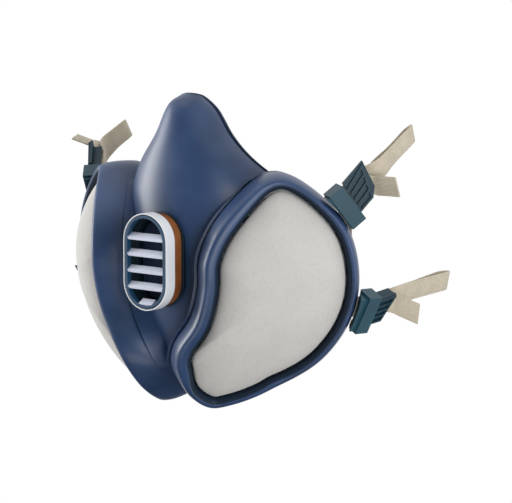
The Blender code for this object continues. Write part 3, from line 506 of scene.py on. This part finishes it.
def surface(name, colour, roughness, spread=0.12, patch=60.0, grain=1400.0, grain_depth=0.00003,
            rough_spread=0.08, specular=0.4, sheen=0.0, metallic=0.0, tint=None):
    """A moulded or pressed material: uneven colour, uneven gloss and a fine grain."""
    made, tree, shader = blank_material(name)
    where = add(tree, "ShaderNodeTexCoord").outputs["Object"]
    patches = noise(tree, where, patch)
    fine = noise(tree, where, grain, 2.0)
    high = shade(colour, 1.0 + spread) if tint is None else tint
    tree.links.new(ramp(tree, patches, shade(colour, 1.0 - spread), high), shader.inputs["Base Color"])
    low, top = max(roughness - rough_spread, 0.02), min(roughness + rough_spread, 1.0)
    gloss = ramp(tree, patches, (low,) * 3, (top,) * 3, 0.25, 0.75)
    tree.links.new(gloss, shader.inputs["Roughness"])
    tree.links.new(bumped(tree, fine, grain_depth, 0.6), shader.inputs["Normal"])
    shader.inputs["Specular IOR Level"].default_value = specular
    shader.inputs["Sheen Weight"].default_value = sheen
    shader.inputs["Metallic"].default_value = metallic
    return made


def felt_surface(name):
    """Pressed fibre: a pale ground with faint patches, specks and a short nap."""
    made = surface(name, (0.475, 0.466, 0.446), 0.95, spread=0.03, patch=90.0, grain=2600.0,
                   grain_depth=0.00009, rough_spread=0.03, specular=0.15, sheen=0.25)
    tree = made.node_tree
    shader = tree.nodes["Principled BSDF"]
    where = next(n for n in tree.nodes if n.type == "TEX_COORD").outputs["Object"]
    specks = ramp(tree, noise(tree, where, 700.0, 4.0), (0.95, 0.95, 0.95), (1.0, 1.0, 1.0), 0.36, 0.52)
    base = shader.inputs["Base Color"].links[0].from_socket
    tree.links.new(tinted(tree, base, specks), shader.inputs["Base Color"])
    return made


def webbing_surface(name, colour):
    """Ribbed elastic: cords along the strap with weft threads across them."""
    made, tree, shader = blank_material(name)
    where = add(tree, "ShaderNodeUVMap", uv_map="Webbing").outputs["UV"]
    cords = add(tree, "ShaderNodeTexWave", wave_type="BANDS", bands_direction="X")
    cords.inputs["Scale"].default_value = WEBBING_CORDS / 2
    threads = add(tree, "ShaderNodeTexWave", wave_type="BANDS", bands_direction="Y")
    threads.inputs["Scale"].default_value = WEBBING_THREADS / 2
    for wave in (cords, threads):
        wave.inputs["Distortion"].default_value = 0.3
        tree.links.new(where, wave.inputs["Vector"])
    patches = noise(tree, add(tree, "ShaderNodeTexCoord").outputs["Object"], 160.0)
    ground = ramp(tree, patches, shade(colour, 0.92), shade(colour, 1.06))
    lines = ramp(tree, cords.outputs["Fac"], (0.74, 0.72, 0.68), (1.0, 1.0, 1.0), 0.0, 0.6)
    tree.links.new(tinted(tree, ground, lines), shader.inputs["Base Color"])
    weft = bumped(tree, threads.outputs["Fac"], 0.00005, 0.5)
    tree.links.new(bumped(tree, cords.outputs["Fac"], 0.00015, 0.7, weft), shader.inputs["Normal"])
    shader.inputs["Roughness"].default_value = 0.9
    shader.inputs["Specular IOR Level"].default_value = 0.2
    shader.inputs["Sheen Weight"].default_value = 0.2
    return made


# ---------------------------------------------------------------- cheek filters

def cheek_point(s, h, z):
    """Drawing coordinates of a point given in the left filter's own axes."""
    c, d = math.cos(CHEEK_TURN), math.sin(CHEEK_TURN)
    return (c * s + d * h, d * s - c * h, z)


def crown(s, z):
    """Height of the filter's front surface above the cheek axes' origin."""
    away = z - CROWN_Z
    tip = CROWN_TIP * (away / (REST_Z - CROWN_Z)) ** 12
    return CROWN_H - away ** 2 / CROWN_FALL - tip - CROWN_LEAN * (s - CROWN_LEAN_S)


def eased(t):
    """0 below 0, 1 above 1, and a smooth change between them."""
    t = min(max(t, 0.0), 1.0)
    return t * t * (3.0 - 2.0 * t)


def outer_share(s, z):
    """0 on the side of a filter next to the nose, 1 on its outer side and on the lower lobe."""
    return max(eased((s + 18.0) / 36.0), eased((-40.0 - z) / 12.0))


def surface_point(s, z, depth):
    """A point of a filter, sunk below the crowned front."""
    share = min(max((LOBE_TOP - z) / (LOBE_TOP - REST_Z), 0.0), 1.0)
    rise = LOBE_RISE * share ** 2 * max(depth, 0.0)
    return cheek_point(s, crown(s, z) - depth, max(z, REST_Z) + rise)


def filter_loop(inner_inset, outer_inset, depth, scale=1.0):
    """The filter outline pulled in, drawn towards its centre by scale, and sunk to a depth."""
    outline = even_loop(RIM_OUTLINE, RIM_LOOP)
    loop = []
    for (s, z), normal in zip(outline, inward(outline)):
        inset = inner_inset + (outer_inset - inner_inset) * outer_share(s, z)
        s += normal[0] * inset
        z += normal[1] * inset
        loop.append(surface_point(CHEEK_CENTRE[0] + (s - CHEEK_CENTRE[0]) * scale,
                                  CHEEK_CENTRE[1] + (z - CHEEK_CENTRE[1]) * scale, depth))
    return loop


def centre_tip(depth):
    return surface_point(*CHEEK_CENTRE, depth)


def filter_rim(name, finish, groove_shade):
    """Rubber rim with a rolled crest, and painted shade in the groove between the crest and the pad."""
    profile = smooth_path(RIM_PROFILE, 3, closed=True)
    rim = mesh_object(name, *ring_body([filter_loop(*row) for row in profile]), finish, 50.0)
    # the groove's faces get a near-black rubber as painted shade; it is the same rubber as the rim
    rim.data.materials.append(groove_shade)
    for face in rim.data.polygons:
        if face.index // RIM_LOOP in GROOVE_SHADE_RINGS:
            face.material_index = 1
    return rim


def filter_pad(name, finish):
    loops = [filter_loop(*PAD_INSET, PAD_BACK_DEPTH, scale) for scale in (0.35, 0.7, 1.0)]
    for scale in PAD_SCALES:
        rise = PAD_DOME * (1.0 - scale ** 2.6) ** 0.8
        loops.append(filter_loop(*PAD_INSET, PAD_EDGE_DEPTH - rise, scale))
    tips = centre_tip(PAD_BACK_DEPTH), centre_tip(PAD_EDGE_DEPTH - PAD_DOME)
    return mesh_object(name, *plug_body(loops, *tips), finish)


def port_frame():
    """Middle of the inhalation port on the housing's back, and its axes."""
    s, z = PORT_CENTRE
    middle = Vector(cheek_point(s, crown(s, z) - HOUSING_BACK, z))
    across = Vector(cheek_point(1.0, 0.0, 0.0))
    forward = Vector(cheek_point(0.0, 1.0, 0.0))
    return middle, across, Vector((0.0, 0.0, 1.0)), forward


def port_body(radius):
    middle, across, up, forward = port_frame()
    return plug_body([round_loop(middle + forward * h, across, up, radius, 64) for h in (-9.0, 5.0)])


def cartridge_housing(name, finish):
    inner, outer = HOUSING_INSETS
    back = outer + 1.0
    loops = [filter_loop(inner, inner, HOUSING_FLOOR, scale) for scale in (0.35, 0.7, 1.0)]
    loops += [filter_loop(inner, inner, HOUSING_MOUTH), filter_loop(outer, outer, HOUSING_MOUTH),
              filter_loop(outer, outer, HOUSING_CORNER)]
    loops += [filter_loop(back, back, HOUSING_BACK, scale) for scale in reversed(PLATE_SCALES)]
    tips = centre_tip(HOUSING_FLOOR), centre_tip(HOUSING_BACK)
    shell = mesh_object(name, *plug_body(loops, *tips), finish)
    return cut(shell, port_body(PORT_RADIUS))


# ---------------------------------------------------------------- facepiece

def face_surface():
    """Outer surface points of the facepiece, row by row from the nose to the chin."""
    rows = smooth_path(FACE_ROWS, FACE_ROW_STEPS)
    grid = []
    for edge_x, edge_y, edge_z, front_y, front_z in rows:
        row = []
        for step in range(FACE_ARC_STEPS + 1):
            turn = math.pi * step / FACE_ARC_STEPS
            sweep = math.sin(turn) ** FACE_FULLNESS
            row.append((edge_x * math.cos(turn), edge_y + (front_y - edge_y) * sweep,
                        edge_z + (front_z - edge_z) * sweep))
        grid.append(row)
    return np.array(grid)


def grid_normals(grid):
    """Outward unit normals of a grid of points."""
    down = np.gradient(grid, axis=0)
    along = np.gradient(grid, axis=1)
    normal = np.cross(along, down)
    normal /= np.maximum(np.linalg.norm(normal, axis=2), 1e-9)[:, :, None]
    return normal


def sheet_body(outer, inner):
    """A closed sheet between two grids of the same size."""
    rows, count = outer.shape[:2]
    verts = [tuple(p) for p in outer.reshape(-1, 3)] + [tuple(p) for p in inner.reshape(-1, 3)]
    faces = []
    for row in range(rows - 1):
        faces += bridge(row * count, (row + 1) * count, count, closed=False)
        faces += bridge((rows + row) * count, (rows + row + 1) * count, count, closed=False)
        for column in (0, count - 1):
            low, high = row * count + column, (row + 1) * count + column
            faces.append((low, high, high + rows * count, low + rows * count))
    for row in (0, rows - 1):
        for column in range(count - 1):
            low = row * count + column
            faces.append((low, low + 1, low + 1 + rows * count, low + rows * count))
    return verts, faces


def filter_envelope():
    """The space of a whole filter, a little larger than its rim and housing."""
    back, front = HOUSING_BACK + 2.0 * GAP, -8.0
    loops = [filter_loop(3.0, 3.0, back, scale) for scale in PLATE_SCALES]
    loops.append(filter_loop(0.3, 0.3, 17.2))
    loops += [filter_loop(-GAP, -GAP, depth) for depth in (16.0, 10.0, front)]
    loops += [filter_loop(0.0, 0.0, front, scale) for scale in (0.7, 0.35)]
    return plug_body(loops, centre_tip(back), centre_tip(front))


def socket_body():
    """The wall of the facepiece behind a filter."""
    back = HOUSING_BACK + GAP + SOCKET_WALL
    loops = [filter_loop(0.6, 2.0, back, scale) for scale in PLATE_SCALES]
    loops.append(filter_loop(-0.9, 0.8, back - 1.0))
    loops += [filter_loop(-1.5, 4.0, SOCKET_FRONT, scale) for scale in (1.0, 0.7, 0.35)]
    return plug_body(loops, centre_tip(back), centre_tip(SOCKET_FRONT))


def stadium_loop(half_w, half_h, y):
    """A round-ended upright outline about the valve's axis at depth y."""
    loop = []
    for end, start in ((1, 0.0), (-1, math.pi)):
        for step in range(VALVE_ARC + 1):
            turn = start + math.pi * step / VALVE_ARC
            loop.append((half_w * math.cos(turn), y,
                         VALVE_Z + end * (half_h - half_w) + half_w * math.sin(turn)))
    return loop


def facepiece(name, finish):
    outer = face_surface()
    inner = outer - grid_normals(outer) * FACE_THICK
    outer[:, :, 2] = np.maximum(outer[:, :, 2], REST_Z)
    shell = mesh_object(name, *sheet_body(outer, inner), finish)
    for operation, body in (("UNION", socket_body()), ("DIFFERENCE", filter_envelope()),
                            ("DIFFERENCE", port_body(PORT_RADIUS))):
        pair = mesh_object("pair", *body, None)
        combine(shell, combine(pair, mirrored(pair, "right"), "UNION"), operation)
    half_w, half_h = VALVE_HOLE
    hole = [stadium_loop(half_w + GAP, half_h + GAP, y) for y in (-66.0, -45.0)]
    return re_edge(cut(shell, plug_body(hole)), 40.0)


def face_seal(name, finish):
    """Soft lip along the rear edge of the facepiece, turned in towards the face."""
    grid = face_surface()
    outer_edge = [*grid[::-1, 0], *grid[0, 1:-1], *grid[:, -1], *grid[-1, -2:0:-1]]
    edge = even_loop(outer_edge[::2], 180)
    edge[:, 2] = np.maximum(edge[:, 2], REST_Z + 2.6)
    loops = []
    for back, inner_reach in SEAL_SECTION:
        loop = []
        for point in edge:
            into = np.array(FACE_MIDDLE) - point
            into[1] = 0.0
            into /= np.linalg.norm(into)
            clear = back + 2.0 * eased((REST_Z + 10.0 - point[2]) / 8.0)
            loop.append(tuple(point + np.array([0.0, clear, 0.0]) + into * inner_reach))
        loops.append(loop)
    return mesh_object(name, *ring_body(loops), finish)


# ---------------------------------------------------------------- exhalation valve

def valve_ring(name, profile, finish):
    """A closed ring about the valve's axis from (half width, y) pairs."""
    loops = [stadium_loop(half_w, half_w + VALVE_HALF_H - VALVE_HALF_W, y) for half_w, y in profile]
    return mesh_object(name, *ring_body(loops), finish)


def recolour_inside(piece, half_width, inside_finish_and_shade):
    """Give another finish to the faces of a valve piece that lie inside a stadium of that width: the pale
    louvres of the grille, and near-black painted shade on the inner faces of the colour band and the cover.
    """
    piece.data.materials.append(inside_finish_and_shade)
    for face in piece.data.polygons:
        centre = face.center / MM + Vector(ORIGIN)
        beyond = max(abs(centre.z - VALVE_Z) - (VALVE_HALF_H - VALVE_HALF_W), 0.0)
        if math.hypot(centre.x, beyond) < half_width:
            face.material_index = 1
    return piece


def valve_body(name, finish):
    """Flanged bush through the facepiece, with a spider that the flap closes on."""
    # the body's near-black finish is painted shade of the recess behind the colour band
    body = valve_ring(name, VALVE_BODY, finish)
    axes = Matrix.Translation((0.0, 0.0, VALVE_Z))
    for z in SPIDER_BARS:
        join(body, box_body((-7.5, -60.6, z - 0.6), (7.5, -58.6, z + 0.6), axes))
    return re_edge(body)


def valve_grille(name, finish, blade_finish):
    """Front frame with pale louvres that slope down and forward."""
    grille = valve_ring(name, GRILLE_FRAME, finish)
    deep, thick = LOUVRE_HALF
    for index in range(LOUVRES):
        z = (index - LOUVRES / 2) * LOUVRE_PITCH
        half = math.sqrt(LOUVRE_REACH ** 2 - max(abs(z) + 0.8 - (VALVE_HALF_H - VALVE_HALF_W), 0.0) ** 2)
        axes = Matrix.Translation((0.0, -68.2, VALVE_Z + z)) @ Matrix.Rotation(LOUVRE_SLOPE, 4, "X")
        join(grille, box_body((-half, -deep, -thick), (half, deep, thick), axes))
    return re_edge(recolour_inside(grille, 8.8, blade_finish))


# ---------------------------------------------------------------- buckles and straps

def buckle_frame(level):
    """X down the hinge block, Y the way the tongue leaves, Z out of the block's front."""
    middle, long_axis, out_axis, _ = BUCKLES[level]
    x = Vector(long_axis).normalized()
    y = Vector(out_axis)
    y = (y - x * y.dot(x)).normalized()
    axes = Matrix((x, y, x.cross(y))).transposed().to_4x4()
    axes.translation = Vector(middle)
    return axes


def hinge_frame(level):
    return buckle_frame(level) @ Matrix.Translation((0.0, *HINGE))


def rod(axes, low_x, high_x, radius, y=0.0, z=0.0, count=32):
    """A rod along the X of its axes."""
    turns = np.linspace(0.0, 2 * math.pi, count, endpoint=False)
    loops = [[axes @ Vector((x, y + radius * math.cos(a), z + radius * math.sin(a)))
              for a in turns] for x in (low_x, high_x)]
    return plug_body(loops)


def prism(axes, outline, low_z, high_z):
    """An outline in X and Y of its axes, extruded along Z."""
    return plug_body([[axes @ Vector((x, y, z)) for x, y in outline] for z in (low_z, high_z)])


def buckle_base(level, side, finish):
    """Hinge block: a front skin and two ears round the tongue's barrel, and a foot to the rim."""
    axes = buckle_frame(level)
    length, across, deep = BLOCK
    base = mesh_object(f"buckle_base_{level}_{side}_moulding", *box_body(
        (-length / 2, -across / 2, -deep / 2), (length / 2, across / 2, deep / 2), axes), finish)
    foot = box_body((-length / 2 + 0.9, -across / 2 - FOOT_REACH, -deep / 2 + 0.5),
                    (length / 2 - 0.9, -across / 2 + 0.5, deep / 2 - 0.9), axes)
    join(base, foot)
    pocket = box_body((-length / 2 + BLOCK_EAR, HINGE[0] - BARREL_ROOM, -deep),
                      (length / 2 - BLOCK_EAR, across, deep / 2 - BLOCK_SKIN), axes)
    cut(base, pocket)
    reach = length / 2 - EAR_END
    cut(base, rod(hinge_frame(level), -reach, reach, PIN_RADIUS + GAP))
    return re_edge(cut(base, filter_envelope()))


def tongue_ridges(level, inset=0.3):
    """Raised border and grip ribs along the front of a tongue, as outlines in its X and Y."""
    corners = TONGUE_PANELS[level]
    low_x, high_x = corners[-1][0] - inset, corners[0][0] - inset

    def between(share, length):
        """A point that far across the tongue and that far along it."""
        tip = Vector(corners[TIP_CORNERS[level][0]]).lerp(Vector(corners[TIP_CORNERS[level][1]]), share)
        return tuple(Vector((low_x + (high_x - low_x) * share, GRIP_START)).lerp(tip, length))

    share = 1.0 / (GRIP_RIBS * 2 + 1)
    for index in range(GRIP_RIBS + 1):
        near, far = index * 2 * share + 0.02, (index * 2 + 1) * share - 0.02
        yield [between(near, 0.02), between(far, 0.02), between(far, 0.84), between(near, 0.84)]
    yield [between(0.02, 0.82), between(0.98, 0.82), between(0.98, 0.97), between(0.02, 0.97)]


def buckle_tongue(level, side, finish):
    """Tongue that turns on the pin: a panel with side walls and a bar that holds the strap."""
    axes = hinge_frame(level)
    lean = BUCKLES[level][3]
    half = TONGUE_HALF
    ends = dict(zip((-1, 1), TONGUE_ENDS[level]))

    def leant(x, y):
        return (x - lean * max(y - TONGUE_SQUARE, 0.0), y)

    tongue = mesh_object(f"buckle_tongue_{level}_{side}_moulding", *rod(axes, -half, half, BARREL_RADIUS),
                         finish)
    panel = [(-half, 0.6), (half, 0.6), *TONGUE_PANELS[level]]
    join(tongue, prism(axes, panel, 0.0, PANEL_THICK))
    for edge, end in ends.items():
        outer, inner = edge * (half - 0.1), edge * (half - TONGUE_WALL)
        wall = [(outer, TONGUE_SQUARE), (inner, TONGUE_SQUARE), leant(inner, end - 0.3),
                leant(outer, end - 0.3)]
        join(tongue, prism(axes, wall, -TONGUE_DEPTH, 0.6))
    reach = half - 0.4
    join(tongue, rod(axes, leant(-reach, BAR_Y)[0], leant(reach, BAR_Y)[0], BAR_RADIUS, BAR_Y, BAR_Z, 8))
    cut(tongue, rod(axes, -half - 1.0, half + 1.0, PIN_RADIUS + GAP))
    for outline in tongue_ridges(level):
        join(tongue, prism(axes, outline, 0.9, PANEL_THICK + GRIP_RISE))
    return re_edge(tongue)


def ribbon(name, rows, width, thick, steps, finish):
    """A flat band with rounded edges along rows of (middle, width direction).

    It carries UVs in strap widths: u across the band and v along it."""
    curve = smooth_path([(*row[0], *row[1]) for row in rows], steps)
    path, wide = curve[:, :3], curve[:, 3:]
    tangent = np.gradient(path, axis=0)
    along_path = np.concatenate([[0.0], np.cumsum(np.linalg.norm(np.diff(path, axis=0), axis=1))]) / width
    edge = thick / width
    section = [(0.5 - edge / 2, 0.5), (0.0, 0.5), (-0.5 + edge / 2, 0.5), (-0.5, 0.2), (-0.5, -0.2),
               (-0.5 + edge / 2, -0.5), (0.0, -0.5), (0.5 - edge / 2, -0.5), (0.5, -0.2), (0.5, 0.2)]
    loops = []
    for point, along, across in zip(path, tangent, wide):
        along = Vector(along).normalized()
        across = Vector(across).normalized()
        normal = along.cross(across).normalized() * thick
        loops.append([Vector(point) + across * (width * a) + normal * b for a, b in section])
    count = len(section)
    made = mesh_object(name, *plug_body(loops), finish, 60.0)
    layer = made.data.uv_layers.new(name="Webbing")
    for loop in made.data.loops:
        ring, corner = divmod(loop.vertex_index, count)
        layer.data[loop.index].uv = (section[corner][0] + 0.5, along_path[ring])
    return made


def turn_back(start, along, side, radius):
    """Five points on a half-turn that starts at a point, runs along and comes back on the given side."""
    start, along, side = Vector(start), Vector(along).normalized(), Vector(side).normalized()
    middle = start + side * radius
    return [middle - side * (radius * math.cos(a)) + along * (radius * math.sin(a))
            for a in np.linspace(0.0, math.pi, 5)]


def strap_run(level, side):
    """Rows of (middle, width direction) from the tongue to the strap's fixed end."""
    key = level if level in OUTS else (level, side)
    start, along, towards, width = FOLDS[key]
    bend = [(point, width) for point in turn_back(start, along, towards, FOLD_RADIUS)]
    return list(OUTS[key]) + bend + list(BACKS[key])


def strap(level, side, finish):
    """One strap from its loose end, round the tongue's bar, back and round behind the facepiece."""
    axes = hinge_frame(level)
    lean = BUCKLES[level][3]
    width_axis = axes.to_3x3() @ Vector((1.0, 0.0, 0.0))
    front, rear = BAR_Z + BAR_TURN, BAR_Z - BAR_TURN
    loop = turn_back((0.0, BAR_Y, front), (0.0, -1.0, 0.0), (0.0, 0.0, -1.0), BAR_TURN)
    near, far = STRAIGHT_RUNS
    inside = [(near, front)] + [(p.y, p.z) for p in loop] + [(near, rear), (far, rear)]
    rows = [(axes @ Vector((-lean * y, y, z)), width_axis) for y, z in inside]
    tail_end, tail_width, (exit_x, exit_y) = TAILS[level, side]
    way_out = axes @ Vector((exit_x, exit_y, front))
    near_end = way_out.lerp(Vector(tail_end), 0.4)
    tail = [(point, tail_width) for point in (tail_end, near_end, way_out)]
    rows = tail + rows + strap_run(level, side)
    return ribbon(f"strap_{level}_{side}_webbing", rows, STRAP_WIDTH, STRAP_THICK, 8, finish)


def crown_cradle(finish):
    rows = [(point, (0.0, 0.0, -1.0)) for point in CRADLE]
    return ribbon("crown_cradle_moulding", rows, CRADLE_WIDTH, CRADLE_THICK, 10, finish)


def clasp_loop(finish):
    """Right half of the neck clasp: a plate with a window for the hook."""
    axes = Matrix.Translation(CLASP_MIDDLE)
    plate = mesh_object("clasp_loop_moulding", *box_body(*LOOP_PLATE, axes), finish)
    return cut(plate, box_body(*LOOP_WINDOW, axes))


def clasp_hook(finish):
    """Left half of the neck clasp: a plate with a prong that stands in the loop's window."""
    axes = Matrix.Translation(CLASP_MIDDLE)
    plate = mesh_object("clasp_hook_moulding", *box_body(*HOOK_PLATE, axes), finish)
    join(plate, box_body(*HOOK_ARM, axes))
    return join(plate, box_body(*HOOK_PRONG, axes))


# ---------------------------------------------------------------- the object

def dress_solid(node, finish):
    """Give a solid of the frame its finished material."""
    for slot in frame["nodes"][node].material_slots:
        slot.material = finish


def build_cheeks(rubber, groove_shade, felt, dark_plastic_and_shade, pale, granules, seal_rubber):
    rim = soften(filter_rim("filter_rim_L_moulding", rubber, groove_shade))
    pad = soften(filter_pad("filter_pad_L_felt", felt))
    housing = re_edge(cartridge_housing("cartridge_housing_L_moulding", dark_plastic_and_shade))
    for piece, node, slot in ((rim, "filter_rim", "rubber"), (pad, "filter_pad", "felt"),
                              (housing, "cartridge_housing", "housing_plastic")):
        other = mirrored(piece, piece.name.replace("_L_", "_R_"))
        for side, made in (("L", piece), ("R", other)):
            stand_for(made, f"{node}_{side}")
    for node, finish in (("filter_grid", pale), ("carbon_bed", granules), ("inhalation_seat", pale),
                         ("inhalation_flap", seal_rubber)):
        for side in "LR":
            dress_solid(f"{node}_{side}", finish)


def build_face(rubber, seal_rubber):
    stand_for(facepiece("facepiece_moulding", rubber), "facepiece")
    stand_for(face_seal("face_seal_moulding", seal_rubber), "face_seal")


def build_valve(pale, amber, grille_finish, dark_plastic_and_shade, louvre, seal_rubber):
    # The valve body and the inner faces of the colour band and the cover get the near-black plastic as
    # painted shade of the recess round the barrel.
    stand_for(round_edges(valve_body("valve_body_moulding", dark_plastic_and_shade), 0.15), "valve_body")
    band = valve_ring("colour_band_moulding", COLOUR_BAND, amber)
    stand_for(round_edges(recolour_inside(band, 9.6, dark_plastic_and_shade), 0.2), "colour_band")
    cover = valve_ring("valve_cover_moulding", VALVE_COVER, pale)
    stand_for(round_edges(recolour_inside(cover, 10.2, dark_plastic_and_shade), 0.1), "valve_cover")
    grille = valve_grille("valve_grille_moulding", grille_finish, louvre)
    stand_for(round_edges(grille, 0.12), "valve_grille")
    dress_solid("exhalation_flap", seal_rubber)


def build_harness(teal, tongue, webbing, steel):
    for level in BUCKLES:
        for piece, node in ((buckle_base(level, "L", teal), "buckle_base"),
                            (buckle_tongue(level, "L", tongue), "buckle_tongue")):
            round_edges(piece, 0.3)
            other = mirrored(piece, piece.name.replace("_L_", "_R_"))
            stand_for(piece, f"{node}_{level}_L")
            stand_for(other, f"{node}_{level}_R")
        for side in "LR":
            dress_solid(f"buckle_pin_{level}_{side}", steel)
        left = strap(level, "L", webbing)
        turned = strap(level, "R", webbing)
        right = mirrored(turned, "right_strap")
        bpy.data.objects.remove(turned)
        right.name = f"strap_{level}_R_webbing"
        for side, made, hand in (("L", left, 1.0), ("R", right, -1.0)):
            take_place(f"strap_{level}_{side}")
            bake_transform(made)
    for piece, node in ((crown_cradle(teal), "crown_cradle"), (clasp_loop(teal), "clasp_loop"),
                        (clasp_hook(teal), "clasp_hook")):
        stand_for(round_edges(piece, 0.4), node)


def area_light(name, where, size, power):
    """A soft box at a drawing point, facing the mask."""
    lamp = bpy.data.lights.new(name, "AREA")
    lamp.size = size
    lamp.energy = power
    made = bpy.data.objects.new(name, lamp)
    bpy.context.scene.collection.objects.link(made)
    made.location = place(where)
    aim = place((0.0, -25.0, 0.0)) - made.location
    made.rotation_euler = aim.to_track_quat("-Z", "Y").to_euler()
    return made


def build_world():
    """A light tent: white all round at the mask's height, darker underneath and behind the camera."""
    world = bpy.data.worlds.new("studio")
    bpy.context.scene.world = world
    world.use_nodes = True
    tree = world.node_tree
    way = add(tree, "ShaderNodeTexCoord").outputs["Generated"]
    height = add(tree, "ShaderNodeSeparateXYZ")
    tree.links.new(way, height.inputs[0])
    under = add(tree, "ShaderNodeMapRange", interpolation_type="SMOOTHSTEP")
    tree.links.new(height.outputs["Z"], under.inputs["Value"])
    beside = add(tree, "ShaderNodeVectorMath", operation="DOT_PRODUCT")
    beside.inputs[1].default_value = DARK_SIDE
    tree.links.new(way, beside.inputs[0])
    flag = add(tree, "ShaderNodeMapRange", interpolation_type="SMOOTHSTEP")
    tree.links.new(beside.outputs["Value"], flag.inputs["Value"])
    for step, values in ((under, (*UNDER_EDGE, UNDER_LIGHT, 1.0)), (flag, (*SIDE_EDGE, 1.0, SIDE_LIGHT))):
        for socket, value in zip(("From Min", "From Max", "To Min", "To Max"), values):
            step.inputs[socket].default_value = value
    level = add(tree, "ShaderNodeMath", operation="MULTIPLY")
    tree.links.new(under.outputs["Result"], level.inputs[0])
    tree.links.new(flag.outputs["Result"], level.inputs[1])
    tree.links.new(level.outputs[0], tree.nodes["Background"].inputs["Strength"])
    tree.nodes["Background"].inputs["Color"].default_value = (1.0, 1.0, 1.0, 1.0)


def build_lights():
    area_light("right", (620.0, -330.0, 60.0), 0.40, RIGHT_POWER)
    area_light("left", (-620.0, -260.0, 120.0), 0.40, LEFT_POWER)
    area_light("low", (330.0, -500.0, -380.0), 0.40, LOW_POWER)
    area_light("top", (-120.0, -160.0, 700.0), 0.45, TOP_POWER)


def build_camera():
    towards = Vector((math.sin(CAMERA_AZIMUTH) * math.cos(CAMERA_ELEVATION),
                      -math.cos(CAMERA_AZIMUTH) * math.cos(CAMERA_ELEVATION), math.sin(CAMERA_ELEVATION)))
    lens = bpy.data.cameras.new("camera")
    lens.lens = LENS_MM
    lens.sensor_width = SENSOR_MM
    lens.clip_start = 0.01
    lens.clip_end = 100.0
    made = bpy.data.objects.new("camera", lens)
    bpy.context.scene.collection.objects.link(made)
    made.location = place(towards * CAMERA_DISTANCE)
    made.rotation_euler = (-towards).to_track_quat("-Z", "Y").to_euler()
    bpy.context.scene.camera = made


def build_scene():
    rubber = surface("mask_rubber", (0.016, 0.042, 0.102), 0.38, spread=0.30, patch=38.0, specular=0.42,
                     tint=(0.027, 0.058, 0.145))
    # near-black rubber painted on the rims' grooves as painted shade
    groove_shade = surface("groove_painted_shade", (0.006, 0.016, 0.034), 0.60, specular=0.25)
    seal_rubber = surface("seal_rubber", (0.010, 0.022, 0.055), 0.60, specular=0.35)
    teal = surface("buckle_plastic", (0.010, 0.050, 0.075), 0.40, grain=1800.0, specular=0.35)
    tongue = surface("tongue_plastic", (0.004, 0.026, 0.042), 0.42, grain=1800.0, specular=0.35)
    grille = surface("grille_plastic", (0.010, 0.045, 0.095), 0.36, specular=0.45)
    pale = surface("pale_plastic", (0.66, 0.68, 0.71), 0.42, spread=0.03)
    louvre = surface("louvre_plastic", (0.66, 0.69, 0.80), 0.36, spread=0.06)
    amber = surface("amber_band", (0.21, 0.070, 0.018), 0.5, spread=0.30, patch=120.0)
    # near-black plastic of the cartridge housings, which is also painted on the valve body and on the
    # valve's inner faces as painted shade
    dark_plastic_and_shade = surface("housing_plastic", (0.006, 0.016, 0.026), 0.5, specular=0.3)
    granules = surface("carbon_granules", (0.012, 0.012, 0.012), 0.85, spread=0.5, patch=900.0, grain=900.0,
                       grain_depth=0.0004)
    steel = surface("pin_steel", (0.40, 0.40, 0.41), 0.3, spread=0.05, metallic=1.0)
    webbing = webbing_surface("webbing", (0.53, 0.475, 0.375))
    build_cheeks(rubber, groove_shade, felt_surface("pad_felt"), dark_plastic_and_shade, pale, granules, seal_rubber)
    build_face(rubber, seal_rubber)
    build_valve(pale, amber, grille, dark_plastic_and_shade, louvre, seal_rubber)
    build_harness(teal, tongue, webbing, steel)
    build_world()
    build_lights()
    build_camera()


build_scene()
bpy.context.scene.view_settings.view_transform = "Standard"
bpy.context.view_layer.update()
